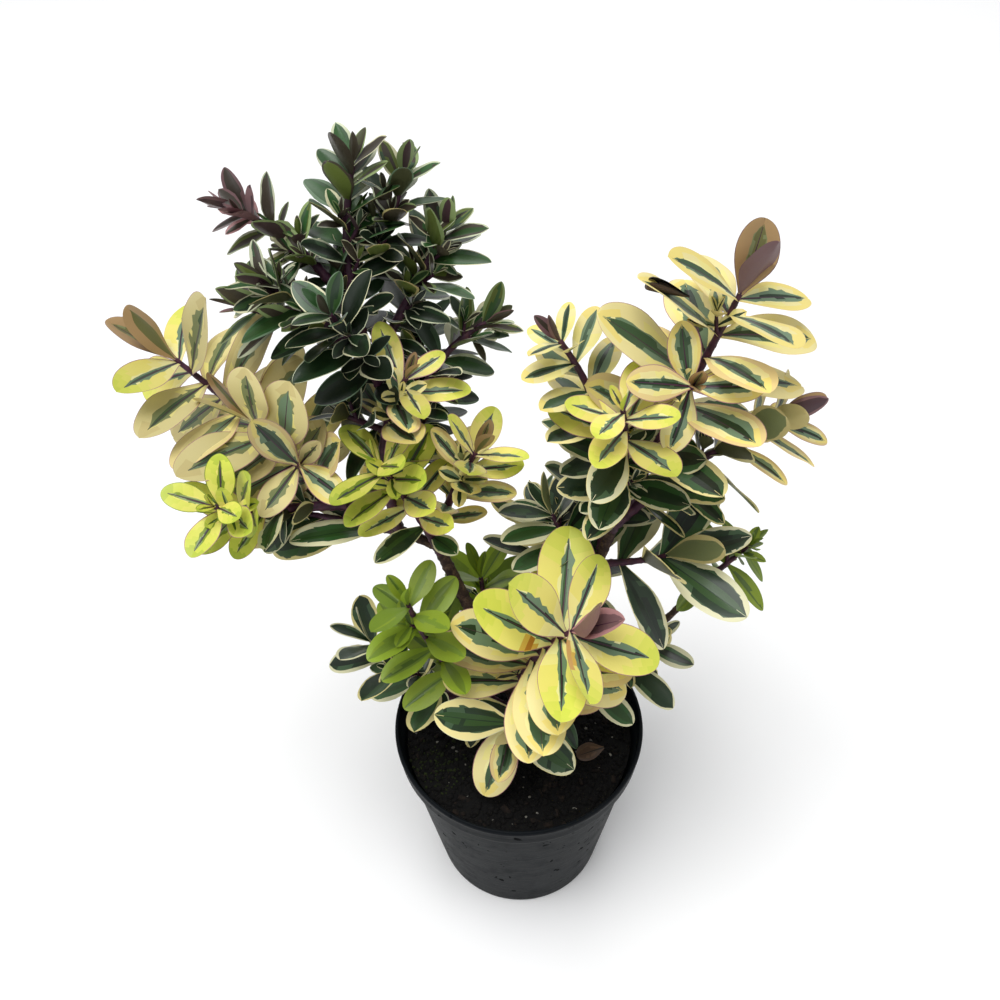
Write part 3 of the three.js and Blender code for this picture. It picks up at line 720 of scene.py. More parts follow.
# What a leaf of each dress is made of. Shares are of half its width, from the midrib out.
usualDress = dict(
    rib="rib", streaks=0.3, patchFrom=-1, patchTo=1.0, taper=0, ragged=0.2, feather=0.1, widest=0.5,
    blunt=1.0, fold=10, droop=0.1, curl=0.1)
dresses = {
    # shade: the darkest greens, worn low in the crown and inside it, is painted shade for the shadow
    # among those leaves.
    "shade": dict(
        usualDress, patch="deep forest deep", halo="deep forest", streak="forest", streaks=0.2,
        margin="frost sage ivory", rim="frost sage", rib="deep", backPatch="olive umber moss",
        backMargin="sage tan", patchShare=0.92, patchTo=1.1, ragged=0.1, feather=0.08, widest=0.52,
        blunt=1.2, fold=15, droop=0.15),
    # dark and wide: their paler streak hue is partly the leaf's own grey-green and partly a painted
    # sheen.
    "dark": dict(
        usualDress, patch="forest pine glade deep", halo="pine glade forest", streak="stripe",
        streaks=0.2, margin="frost sage ivory", rim="frost ivory stripe", rib="forest",
        backPatch="olive moss umber", backMargin="tan sage", patchShare=0.88, patchTo=1.1, ragged=0.18,
        widest=0.52, blunt=1.2, fold=15, droop=0.13),
    # crest: the crown's tip leaves, umber and rosy as young leaves are, with wide pale margins that are
    # partly painted light on the top of the crown.
    "crest": dict(
        usualDress, patch="umber pine umber glade", halo="umber glade moss", streak="stripe",
        streaks=0.25, margin="ivory celery frost", rim="ivory rosy", backPatch="umber plum moss",
        backMargin="celery umber", patchShare=0.68, taper=0.1, ragged=0.3, feather=0.16, blunt=1.25,
        fold=17, droop=0.06),
    "wide": dict(
        usualDress, patch="forest deep pine", halo="forest glade", streak="stripe", streaks=0.22,
        margin="ivory cream ivory", rim="cream ivory", rib="forest", backPatch="olive tanPatch",
        backMargin="tan cream", patchShare=0.76, taper=0.1, feather=0.14, widest=0.58, fold=11,
        droop=0.12, curl=0.12),
    "cream": dict(
        usualDress, patch="forest stripe forest", halo="stripe sage", streak="sage",
        streaks=0.35, margin="cream butter cream", along="pale straw cream butter",
        brim="butter peach cream", rim="peach rosy", backPatch="tanPatch tanPatch tan",
        backMargin="tan cream tanShade", patchShare=0.42, patchFrom=0, patchTo=0.93, taper=0.3,
        ragged=0.35, feather=0.22, widest=0.6, fold=9, droop=0.12),
    "tanned": dict(
        usualDress, patch="stripe sage stripe", halo="sage tanPatch", streak="tanPatch",
        streaks=0.4, margin="creamTan", along="straw creamTan creamTan tan", brim="tan creamTan",
        rim="rosy", backPatch="tanPatch", backMargin="tan", patchShare=0.26, patchFrom=0.05, patchTo=0.85,
        taper=0.3, ragged=0.35, feather=0.24, widest=0.58),
    "yellow": dict(
        usualDress, patch="forest stripe", halo="sage", streak="sage", margin="lemon",
        along="pale straw lemon lemon limePale limeSoft lime", rim="rosy peach rosy",
        backPatch="limeDeep tanPatch", backMargin="spring lemon", patchShare=0.24, patchTo=0.86,
        taper=0.6, ragged=0.3, feather=0.26, widest=0.6, droop=0.08, curl=0.05),
    "fresh": dict(
        usualDress, patch="leafGreen stripe", halo="limeDull celery", streak="limeDull",
        margin="spring", along="lemon limePale limeSoft lime spring", rim="rosy limeDull",
        backPatch="limeDull", backMargin="limeDeep spring", patchShare=0.3, patchTo=0.88, taper=0.6,
        ragged=0.3, feather=0.24, widest=0.6, droop=0.08, curl=0.05),
    "lime": dict(
        usualDress, patch="leafGreen limeMid", halo="limeMid", streak="limeDull",
        margin="limeDull limeMid limeDeep", rim="limeDeep", backPatch="limeMid", backMargin="limeDeep",
        patchShare=0.42, taper=0.3, feather=0.2, widest=0.56, fold=12),
    "olive": dict(
        usualDress, patch="limeMid leafGreen", halo="limeMid limeDull", streak="limeDull",
        streaks=0.2, margin="limeDull limeMid", rim="limeDeep spring", backPatch="limeMid moss",
        backMargin="limeDull", patchShare=0.5, blunt=1.3, fold=14),
    "plum": dict(
        usualDress, patch="umber olive plum", halo="umber olive", streak="olive", streaks=0.25,
        margin="tan celery mauve", rim="rosy", backPatch="umber umber plum", backMargin="umber mauve",
        patchShare=0.85, patchTo=1.1, ragged=0.1, feather=0.08, blunt=1.3, fold=18, droop=0.04),
    "mauve": dict(
        usualDress, patch="umber plum mauve", halo="mauve umber", streak="mauve", streaks=0.15,
        margin="rosy mauve", rim="rosy", backPatch="mauve plum", backMargin="mauve", patchShare=0.6,
        blunt=1.2, fold=18, droop=0.02),
    "budTan": dict(
        usualDress, patch="budGreen", halo="budGreen", streak="tanPatch", margin="budTan",
        rim="mauve", backPatch="budGreen", backMargin="budTan", patchShare=0.4, patchFrom=0, patchTo=0.9,
        taper=0.3, widest=0.55, fold=20, droop=0.0),
    "dead": dict(
        usualDress, patch="char", halo="char", streak="dead", margin="char dead", rim="char",
        rib="char", backPatch="dead char", backMargin="char", patchShare=0.6, patchTo=1.1, ragged=0.3,
        widest=0.85, blunt=0.5, fold=0, droop=-0.1, curl=0, roll=2.7),
    "fallen": dict(
        usualDress, patch="dead", halo="dead", streak="litter", streaks=0.4,
        margin="litter dead", rim="litter", rib="char", backPatch="dead", backMargin="dead",
        patchShare=0.6, patchTo=1.1, ragged=0.3, widest=0.55, blunt=0.8, fold=6, droop=0.06, curl=-0.6),
}

# How finely a leaf is cut: its stations from root to tip, and the columns out from its midrib, with
# the zones between them. The back's zones close it below.
leafCuts = {
    "fine": dict(
        stations=(0, .05, .1, .16, .22, .285, .35, .415, .48, .545, .61, .67, .73, .785, .84, .885, .925,
                  .957, .982, 1),
        columns=("rib", "halfPatch", "patch", "feather", "outer", "edge", "side"),
        zones=("core", "patch", "feather", "margin", "brim", "rim"), middle=("rib",),
        back=("backMargin", "backPatch", "backPatch", "backMargin")),
    "plain": dict(
        stations=(0, .08, .18, .29, .4, .51, .61, .71, .8, .88, .945, .985, 1),
        columns=("halfPatch", "patch", "side"), zones=("core", "patch", "margin"), middle=(),
        back=("backMargin", "backPatch", "backPatch", "backMargin")),
    "small": dict(
        stations=(0, .2, .45, .68, .88, 1), columns=("patch", "side"), zones=("core", "margin"),
        middle=(), back=("backPatch", "backPatch")),
}
leafForm = dict(
    rootWidth=0.13,  # of the width
    shoulder=1.25,  # how fast it widens from there
    tipWidth=0.004,  # squared, of the width
    thickness=0.45, belly=1.35,  # at the midrib it is this many times as deep, at the edge one less
    ribWidth=0.6, ribMost=0.3,  # at its root, and at most of the half width
    ribLength=1.25, ribEnd=0.86,  # where it would end by its taper, and where it does
    rimWidth=0.3, rimMost=0.2,
    slant=0.22,  # how far the side veins run forward on their way out
    twist=12, sway=0.05, bendSpread=0.5, foldSpread=(0.6, 1.3),
    wave=0.05, waves=1.7, waveSpread=(0.3, 1),  # of the edge, up and down
)
greenForm = dict(
    ramp=0.16,  # of the length, while it grows to its full width
    slowWave=0.6, slowWaves=1.1, quickWave=0.16,  # in its edge
    gap=0.01, pastRib={"halfPatch": 1.02, "patch": 1.1, "feather": 1.2},  # so no two columns cross
    featherPower=1.5,  # its long teeth are rare
    least=0.02, coreStreaks=0.5, featherStreaks=0.35, paleShift=0.05, strokeRows=(1, 4),
)
greenZones = ("core", "patch", "feather")
pickedZones = ("patch", "halo", "margin", "brim", "rim", "rib", "backPatch", "backMargin")


# Half a leaf's outline at each station, as a share of its half width.
def outlineOf(stations, dress):
    widest, root = dress["widest"], leafForm["rootWidth"]
    inner = np.clip(stations / widest, 0, 1)
    outer = np.clip((stations - widest) / (1 - widest), 0, 1)
    rising = root + (1 - root) * np.sin(inner * math.pi / 2) ** leafForm["shoulder"]
    closing = np.sqrt(np.maximum(1 - outer ** 2, leafForm["tipWidth"])) ** dress["blunt"]
    return np.where(stations < widest, rising, closing)


# How far the green has grown at each station.
def greenOf(stations, dress):
    ramp = greenForm["ramp"]
    grown = (np.clip((stations - dress["patchFrom"]) / ramp, 0, 1)
             * np.clip((dress["patchTo"] - stations) / ramp, 0, 1))
    return np.sqrt(grown) * (1 - dress["taper"] * stations)


# How far out each column of one side of a leaf runs.
def columnsOf(stations, outline, green, fullness, dress, rng):
    form, gap = greenForm, greenForm["gap"]
    edge = 1 - np.minimum(leafForm["rimWidth"] / outline, leafForm["rimMost"])
    rib = leafForm["ribWidth"] / 2 * (leafForm["ribLength"] - stations) / outline
    rib = np.minimum(rib, leafForm["ribMost"])
    slow = math.sin(rng.uniform(0, anyTurn))
    slow = slow * np.sin(2 * math.pi * (form["slowWaves"] * stations + rng.random()))
    quick = np.array([rng.uniform(-1, 1) for _ in stations])
    share = fullness * (1 + dress["ragged"] * (form["slowWave"] * slow + form["quickWave"] * quick))
    patch = np.clip(dress["patchShare"] * green * share, 2 * gap, edge - 3 * gap)
    feather = np.array([rng.uniform(0, 1) for _ in stations]) ** form["featherPower"]
    feather = np.minimum(patch + gap + feather * dress["feather"] * green, edge - gap)
    columns = {"halfPatch": patch / 2, "patch": patch, "feather": feather}
    columns = {name: np.maximum(out, rib * form["pastRib"][name]) for name, out in columns.items()}
    return dict(columns, rib=rib, outer=(columns["feather"] + edge) / 2, edge=edge,
                side=np.ones(len(stations)))


# Bends a leaf and sets it in its place. Along and out are shares of its length and half width, and
# the columns from topCount on are its back.
def leafPoints(spot, dress, along, out, topCount, rng):
    form, length, half = leafForm, spot["length"], spot["width"] / 2
    outline = half * outlineOf(along, dress)
    bend = dress["droop"] * (1 + form["bendSpread"] * rng.uniform(-1, 1))
    sway = form["sway"] * rng.uniform(-1, 1)
    twist = np.radians(form["twist"] * rng.uniform(-1, 1)) * along
    fold = math.tan(math.radians(dress["fold"] * rng.uniform(*form["foldSpread"])))
    wave = form["wave"] * rng.uniform(*form["waveSpread"])
    wave = wave * np.sin(2 * math.pi * (form["waves"] * along + rng.random()))
    wide = out * outline
    lift = np.abs(wide) * fold * (1 - dress["curl"] * 3 * np.abs(out) ** 2) + np.abs(out) * wave * half
    if "roll" in dress:
        lift = outline / dress["roll"] * (1 - np.cos(out * dress["roll"]))
        wide = outline / dress["roll"] * np.sin(out * dress["roll"])
    under = np.zeros_like(out)
    under[:, topCount:] = -1
    depth = form["thickness"] * np.sqrt(outline / half)
    lift = lift + under * depth * (form["belly"] - np.abs(out))
    ahead = along * length
    across = wide * np.cos(twist) - lift * np.sin(twist) + sway * length * along ** 2
    above = wide * np.sin(twist) + lift * np.cos(twist) - bend * length * along ** 2

    turn = math.radians(rng.gauss(0, leafRule["rollJitter"]))
    face = Matrix.Rotation(turn, 3, spot["along"]) @ spot["face"]
    axes = [np.array(axis) for axis in (spot["along"], spot["along"].cross(face), face, spot["root"])]
    return (ahead[..., None] * axes[0] + across[..., None] * axes[1]
            + above[..., None] * axes[2] + axes[3]).reshape(-1, 3)


# The strips of a leaf's faces, from one side to the other and back below: zones, and hues by row.
def stripsOf(dress, cut, rng):
    rows = len(cut["stations"])
    hues = {zone: rng.choice(dress[zone].split()) for zone in pickedZones if zone in dress}
    steps = dress.get("along", hues["margin"]).split()

    # The pale part changes hue from root to tip, in steps a little out of line with each other.
    def paleStrip():
        shift = rng.uniform(-greenForm["paleShift"], greenForm["paleShift"])
        return [steps[min(max(int((share + shift) * len(steps)), 0), len(steps) - 1)]
                for share in cut["stations"]]

    # The green parts change in runs of a few rows, like strokes of a dry brush.
    def strokes(usual, other, share):
        strip = []
        while len(strip) < rows:
            strip += [other if rng.random() < share else usual] * rng.randint(*greenForm["strokeRows"])
        return strip

    pale = paleStrip()
    makers = {
        "core": lambda: strokes(hues["patch"], hues["halo"], dress["streaks"] * greenForm["coreStreaks"]),
        "patch": lambda: strokes(hues["halo"], dress["streak"], dress["streaks"]),
        "feather": lambda: strokes(dress["streak"], pale[0], greenForm["featherStreaks"]),
        "margin": paleStrip,
        "brim": lambda: [hues["brim"]] * rows if "brim" in dress else paleStrip(),
    }
    zones = [*reversed(cut["zones"]), *cut["middle"], *cut["zones"], *cut["back"]]
    strips = [makers[zone]() if zone in makers else [hues[zone]] * rows for zone in zones]
    return zones, strips, pale, hues["backMargin"]


# Marks on single leaves, by mass, pair and half: how far along the leaf and out from its midrib, and
# how long and wide.
marks = {
    ("front", 6, 0): [
        dict(at=0.29, out=-0.6, length=0.045, width=0.3, hue="rust"),
        dict(at=0.29, out=-0.62, length=0.1, width=0.42, hue="ochre")],
    ("front", 9, 180): [
        dict(at=0.4, out=0.85, length=0.24, width=0.2, hue="blush"),
        dict(at=0.44, out=0.55, length=0.1, width=0.2, hue="ochre"),
        dict(at=0.3, out=0.98, length=0.3, width=0.06, hue="rosy")],
}


def marked(leafMarks, along, out, hue):
    for mark in leafMarks:
        if math.hypot((along - mark["at"]) / mark["length"], (out - mark["out"]) / mark["width"]) < 1:
            return mark["hue"]
    return hue


# Adds one leaf to a gathering of them. Its grid has a row at each station, round from side to side.
def addLeaf(gather, spot, dressName, cutName, rng, leafMarks=()):
    dress, cut = dresses[dressName], leafCuts[cutName]
    stations = np.array(cut["stations"])
    outline = spot["width"] / 2 * outlineOf(stations, dress)
    green = greenOf(stations, dress)
    fullness = 1 + rng.uniform(-1, 1) * dress["ragged"]
    left = columnsOf(stations, outline, green, fullness, dress, rng)
    right = columnsOf(stations, outline, green, fullness, dress, rng)
    midrib = np.zeros(len(stations))
    top = [-left[name] for name in reversed(cut["columns"])]
    top += [] if cut["middle"] else [midrib]
    top += [right[name] for name in cut["columns"]]
    below = [right["patch"], midrib, -left["patch"]] if len(cut["back"]) > 2 else [midrib]
    out = np.array(top + below).T
    # Side veins run forward, so each station bends towards the tip at its sides.
    slant = leafForm["slant"] * np.abs(out) * (stations * (1 - stations))[:, None] * 2
    along = stations[:, None] + slant
    points = leafPoints(spot, dress, along, out, len(top), rng)

    tone = rng.choice(toneChoices)
    zones, strips, pale, backMargin = stripsOf(dress, cut, rng)
    around, rows = len(zones), len(stations)
    faces, colours = [], []
    for j in range(rows - 1):
        bare = green[j] + green[j + 1] <= greenForm["least"]
        for c, zone in enumerate(zones):
            n = (c + 1) % around
            faces.append((j * around + c, j * around + n, (j + 1) * around + n, (j + 1) * around + c))
            hue = strips[c][j]
            if (bare and zone in greenZones) or (zone == "rib" and stations[j] > leafForm["ribEnd"]):
                hue = pale[j]
            elif bare and zone == "backPatch":
                hue = backMargin
            elif c < len(top) - 1:
                hue = marked(leafMarks, along[j, c], (out[j, c] + out[j, n]) / 2, hue)
            colours.append((hue, tone))
    last = (rows - 1) * around
    faces += [tuple(reversed(range(around))), tuple(range(last, last + around))]
    colours += [(pale[0], tone), (pale[-1], tone)]
    gather.add(points, faces, colours)


glossyHues = ("forest", "pine", "deep", "glade", "stripe", "leafGreen", "umber", "frost")
leafCoats = {"dull": 0.06, "glossy": 0.3}
leafPaints = {}


def leafPaint(colour):
    if colour not in leafPaints:
        hue, tone = colour
        coat = leafCoats["glossy" if hue in glossyHues else "dull"]
        leafPaints[colour] = grainPaint(
            f"leaf_{hue}_{tone}", linear(leafHues[hue], leafTones[tone]), 0.4, (900, 2), (0.4, 0.16),
            (0.00012, 0.5), **{"Coat Weight": coat, "Coat Roughness": 0.22})
    return leafPaints[colour]


# The masses of each piece, by how their names start.
leafPieces = {
    "crown_leaves": ("leader", "back_left", "back_upper"),
    "left_leaves": ("left",),
    "right_leaves": ("right", "outer", "back_right", "back_low", "back_inner"),
    "low_leaves": ("front", "base", "low_back"),
}
fineMasses = ("front", "front_low", "left_tip", "left_front", "left_low", "left_inner", "left_upper",
              "right_tip", "right_front", "right_outer", "right_low", "left_under")
dressSeed = 40
dressDrift = 0.35  # how far a leaf strays from the dress of its height

# Dead leaves: where each lies, which way it points, and the piece it belongs to.
strays = [
    dict(piece="right_leaves", dress="dead", root=(67, 30, 339), heading=178, lift=12,
         face=(0.1, -0.5, 0.85), length=18, width=15, seed=7),
    dict(piece="low_leaves", dress="fallen", root=(44, -14, 102), heading=-165, lift=-2,
         face=(0.1, -0.15, 1), length=15, width=10, seed=7),
]


# What a leaf wears: a dress by its height on the shoot, or the bud's own.
def wornBy(leaf, shoot, rng):
    dress = shoot["dress"].split()
    step = leaf["share"] * len(dress) + rng.uniform(-dressDrift, dressDrift)
    if leaf["isBud"]:
        buds = shoot.get("budDress", dress[-1]).split()
        return buds[leaf["half"] // 180 % len(buds)]
    return dress[int(min(max(step, 0), len(dress) - 1))]


# A side twig in a leaf's axil, with its own few leaves. Gives back its path.
def addSprig(gather, shoot, leaf, wear, rng):
    at = stationAt(shoot["path"], leaf["height"])
    way = at.leaving(leaf["turn"], sprigRule["opening"])[1]
    heading = math.degrees(math.atan2(way.y, way.x))
    lift = math.degrees(math.asin(max(-1, min(1, way.z))))
    sprig = dict(
        sprigRule, length=rng.uniform(*sprigRule["length"]), heading=(heading, heading),
        lift=(lift, min(90, lift + sprigRule["rise"])), roll=rng.uniform(0, 90))
    path = growPath(at.place, sprig, sprig["radius"])
    for small in leavesOf(sprig, seededStream(rng.randrange(1000))):
        addLeaf(gather, placeLeaf(path, small), sprigRule["dress"].get(wear, wear), "small", rng)
    return path


def addStray(gather, stray):
    along = towards(stray["heading"], stray["lift"])
    face = Vector(stray["face"])
    face = (face - along * face.dot(along)).normalized()
    spot = dict(stray, root=Vector(stray["root"]), along=along, face=face)
    addLeaf(gather, spot, stray["dress"], "fine", random.Random(stray["seed"]))


twigs = []  # the side twigs' paths, with their girths
for name, starts in leafPieces.items():
    gather = Gather()
    masses = [mass for mass in massNames if mass.startswith(starts)]
    for order, shoot in enumerate(shoots):
        if shoot["mass"] not in masses:
            continue
        rng = random.Random(order + dressSeed)
        cut = "fine" if shoot["mass"] in fineMasses else "plain"
        for leaf, spot in shoot["leaves"]:
            wear = wornBy(leaf, shoot, rng)
            key = shoot["mass"], leaf["pair"], leaf["half"]
            addLeaf(gather, spot, wear, cut, rng, marks.get(key, ()))
            if sprigRule["fromHeight"] < leaf["height"] < sprigRule["toHeight"]:
                if rng.random() < shoot.get("sprigs", sprigRule["share"]):
                    twigs.append(addSprig(gather, shoot, leaf, wear, rng))
    for stray in strays:
        if stray["piece"] == name:
            addStray(gather, stray)
    fitted(gather.build(name, leafPaint), ["foliage_" + mass for mass in masses])
    print(name, len(gather.faces), "faces,", len(gather.colours), "colours")


bark = {
    "Ring spacing": 0.0007, "Sides": 16, "Node gap": 0.0058, "Node swell": 0.16, "Relief": 0.0009,
    "Relief scale": 380.0,
    "Bark": grainPaint(
        "bark", linear("#3a2a24"), 0.3, (420, 5, 0.65), (0.6, 0.3), (0.0006, 0.8),
        ((0.25, "#1d1315"), (0.5, "#3b2a26"), (0.75, "#6b5548"))),
}
youngStem = {
    "Ring spacing": 0.0011, "Sides": 8, "Node gap": 0.0045, "Node swell": 0.2, "Relief": 0.0002,
    "Relief scale": 500.0,
    "Bark": grainPaint(
        "youngStem", linear("#3f1a2b"), 0.4, (300, 3), (0.45, 0.2), (0.0003, 0.5),
        ((0.3, "#2c1420"), (0.55, "#47203a"), (0.8, "#5f3a3c"))),
}
stemGain = 1.35  # twigs are drawn a little thicker than they grow


# Turns lines with a girth at each point into limbs: ringed at their nodes, and rough.
def limbRig():
    rig = Rig("limbs", {
        "Ring spacing": "Float", "Sides": "Int", "Node gap": "Float", "Node swell": "Float",
        "Relief": "Float", "Relief scale": "Float", "Bark": "Material"})
    line = rig.make("GeometryNodeMeshToCurve", {}, {"Mesh": rig.given("Geometry")})
    line = rig.make("GeometryNodeResampleCurve", {"mode": "LENGTH"}, {
        "Curve": line, "Length": rig.given("Ring spacing")})
    reach = rig.make("GeometryNodeSplineParameter", out=1)
    phase = rig.make("ShaderNodeMath", {"operation": "FRACT"}, {0: reach / rig.given("Node gap")})
    ridge = (1 - rig.make("ShaderNodeMath", {"operation": "ABSOLUTE"}, {0: phase * 2 - 1})) ** 5
    profile = rig.make("GeometryNodeCurvePrimitiveCircle", {"mode": "RADIUS"}, {
        "Resolution": rig.given("Sides"), "Radius": 1.0})
    tube = rig.make("GeometryNodeCurveToMesh", {}, {
        "Curve": line, "Profile Curve": profile, "Fill Caps": True,
        "Scale": rig.attribute("girth") * (ridge * rig.given("Node swell") + 1)})
    rough = rig.noise(rig.make("GeometryNodeInputPosition"), rig.given("Relief scale"), 4, 0.6) - 0.5
    shift = rig.make("ShaderNodeVectorMath", {"operation": "SCALE"}, {
        0: rig.make("GeometryNodeInputNormal"), "Scale": rough * rig.given("Relief")})
    rig.finish(rig.make("GeometryNodeSetPosition", {}, {"Geometry": tube, "Offset": shift}), "Bark")
    return rig


limbTree = limbRig()


def growLimbs(name, ways, look, nodes=(), gain=1.0):
    points, edges, girths = [], [], []
    for path in ways:
        start = len(points)
        points += [station.place * mm for station in path]
        girths += [station.radius * mm * gain for station in path]
        edges += [(k, k + 1) for k in range(start, len(points) - 1)]
    mesh = bpy.data.meshes.new(name)
    mesh.from_pydata(points, edges, [])
    setAttribute(mesh, "girth", girths)
    item = addObject(name, mesh)
    limbTree.grow(item, look)
    fitted(item, nodes)
    print(name, len(item.data.polygons), "faces")


limbNames = [limb["name"] for limb in limbs]
growLimbs("bark_limbs", [paths[name] for name in limbNames], bark, limbNames)
growLimbs("leaf_stems", [shoot["path"] for shoot in shoots] + twigs, youngStem, gain=stemGain)


pot = dict(
    around=144, baseRadius=47, shoulderRadius=61.2, rimRadius=65, shoulder=97, wall=1.3, lip=2.0,
    foot=((-6, 0), (-5.6, 0.1), (-1.2, 0.1), (-0.35, 0.35), (0.05, 1.1)),  # out from the base, and up
    wallRings=(3, 93, 19), innerRings=(88, 4, 12),  # first and last height, count
    collar=dict(low=93, high=100, radius=64.1),  # it flares out of the wall in a soft S
    bead=((64.25, 103), (64.4, 106.2), (64.75, 107.1), (65, 107.9), (65, 108.6), (64.8, 109.4),
          (64.4, 109.85), (63.9, 110), (63.4, 109.9)),  # the rolled lip, as radius and height
    bore=((0.05, 109.5), (0, 108.8), (-0.1, 104), (-0.3, 101.5)),  # out from the bore, and up
    throat=dict(high=100.5, low=94, inset=0.5, wallAt=95),  # where the bore draws in to the wall
    floor=dict(height=1.8, inset=2.2, wallAt=2),
    drainHoles=4, drainRadius=4, drainCircle=36, drill=(-3, 5),  # from and to which height
)


def wallRadius(height):
    return mix(pot["baseRadius"], pot["shoulderRadius"], height / pot["shoulder"])


def potProfile():
    base, bore, thin = pot["baseRadius"], pot["rimRadius"] - pot["lip"], pot["wall"]
    collar, throat, floor = pot["collar"], pot["throat"], pot["floor"]
    flare = wallRadius(collar["low"]), collar["radius"]
    narrowing = bore - throat["inset"], wallRadius(throat["wallAt"]) - thin
    steps = [k / 10 for k in range(1, 11)]
    return [
        (0, 0), *((base + out, height) for out, height in pot["foot"]),
        *((wallRadius(height), height) for height in np.linspace(*pot["wallRings"])),
        *((mix(*flare, share * share * (3 - 2 * share)), mix(collar["low"], collar["high"], share))
          for share in steps),
        *pot["bead"], *((bore + out, height) for out, height in pot["bore"]),
        *((mix(*narrowing, share), mix(throat["high"], throat["low"], share)) for share in steps),
        *((wallRadius(height) - thin, height) for height in np.linspace(*pot["innerRings"])),
        (wallRadius(floor["wallAt"]) - floor["inset"], floor["height"]), (0, floor["height"])]


potShell = lathe("pot_shell", potProfile(), pot["around"])
for k, turn in enumerate(turnsOf(pot["drainHoles"])):
    radius, circle, (bottom, top) = pot["drainRadius"], pot["drainCircle"] * mm, pot["drill"]
    drill = lathe(f"drill_{k}", [(0, bottom), (radius, bottom), (radius, top), (0, top)], 24)
    drill.data.transform(Matrix.Translation((circle * math.cos(turn), circle * math.sin(turn), 0)))
    cut = potShell.modifiers.new("drain", "BOOLEAN")
    cut.operation = "DIFFERENCE"
    cut.object = drill
    settle(potShell)
    bpy.data.objects.remove(drill)
shadeSmooth(potShell.data, 40)


# Dull black plastic: cloudy, dusty and scuffed, with small pits, and darker at its lip.
potFinish = dict(
    base="#1b1e20", clouds=("#0e1113", "#191d20"), dust=("#3c3e3e", 0.14), pits=("#030303", 0.8),
    lip=("#0d1014", 0.6), lipFrom=0.1082, roughness=0.36, rougher=(0.2, 0.2, 0.5), relief=(0.00025, 0.6))


def potPaint():
    finish = potFinish
    paint = Paint("potPlastic", linear(finish["base"]), **{"Specular IOR Level": 0.05})
    place = paint.place
    height = paint.make("ShaderNodeSeparateXYZ", {}, {0: place}, out=2)
    grit = paint.noise(place, 900, 3, 0.7)
    streaks = paint.make("ShaderNodeMapping", {}, {"Vector": place, "Scale": (60, 60, 700)})
    scuff = paint.noise(streaks, 1.0, 4, 0.6)
    pits = paint.ramp(paint.noise(place, 210, 2, 0.5), [(0.685, 0.0), (0.7, 1.0)])
    dust = paint.ramp(paint.noise(place, 75, 5, 0.7), [(0.5, 0.0), (0.8, 1.0)])
    tint = paint.mixed(paint.noise(place, 26, 4, 0.6), *(linear(hue) for hue in finish["clouds"]))
    for name, share in (("dust", dust), ("pits", pits), ("lip", height > finish["lipFrom"])):
        hue, strength = finish[name]
        tint = paint.mixed(share * strength, tint, linear(hue))
    byScuff, byDust, byPits = finish["rougher"]
    roughness = scuff * byScuff + dust * byDust + pits * byPits + finish["roughness"]
    paint.set(**{"Base Color": tint, "Roughness": roughness})
    paint.bump(grit * 0.4 + scuff * 0.6, *finish["relief"])
    return paint.material


potShell.data.materials.clear()
potShell.data.materials.append(potPaint())
fitted(potShell, ["pot"])
print("pot_shell", len(potShell.data.polygons), "faces")


bed = dict(
    edge=98, crown=1.5, low=2.1, gap=0.35, footInset=2.6, sides=(8, 40, 80, 94), rings=46, around=120,
    dark="#030303", light="#0a0807", grain=260,
    lumps=((21, 0.4), (11, 0.3), (6, 0.2), (3.2, 0.16)),  # how long a wave is, and its share
    lumpHeight=0.95, wavesEach=3, reach=61, seed=5,
    litterRadius=58.5,  # crumbs lie inside this
    moss=dict(x=-42, y=-20, radius=20),
)


def bedRadius(height):
    return wallRadius(height) - pot["wall"] - bed["gap"]


def bedProfile():
    low, edge, reach = bed["low"], bed["edge"], bedRadius(bed["edge"] - 2)
    return [
        (0, low), (wallRadius(low) - bed["footInset"], low),
        *((bedRadius(height), height) for height in bed["sides"]),
        *((reach * (1 - k / bed["rings"]), edge) for k in range(bed["rings"] + 1))]


# Lumps of several sizes from sums of waves, kept low at the wall.
def bedHeight(x, y):
    reach = math.hypot(x, y) / bed["reach"]
    rng = random.Random(bed["seed"])
    total = 0
    for size, share in bed["lumps"]:
        for _ in range(bed["wavesEach"]):
            turn, phase = rng.uniform(0, math.pi), rng.uniform(0, anyTurn)
            across = x * math.cos(turn) + y * math.sin(turn)
            total += share * math.sin(across * anyTurn / size + phase)
    return bed["crown"] * (1 - reach) + bed["lumpHeight"] * total * min(1, 1.15 - reach)


compostBed = lathe("compost_bed", bedProfile(), bed["around"])
litter, mossy = [], []
for point in compostBed.data.vertices:
    x, y = point.co.x / mm, point.co.y / mm
    onTop = point.co.z > (bed["edge"] - 0.5) * mm
    if onTop:
        point.co.z += bedHeight(x, y) * mm
    litter.append(float(onTop and math.hypot(x, y) < bed["litterRadius"]))
    fromMoss = math.hypot(x - bed["moss"]["x"], y - bed["moss"]["y"]) / bed["moss"]["radius"]
    mossy.append(max(0.0, 1 - fromMoss) * litter[-1])
setAttribute(compostBed.data, "litter", litter)
setAttribute(compostBed.data, "mossy", mossy)
shadeSmooth(compostBed.data, 50)


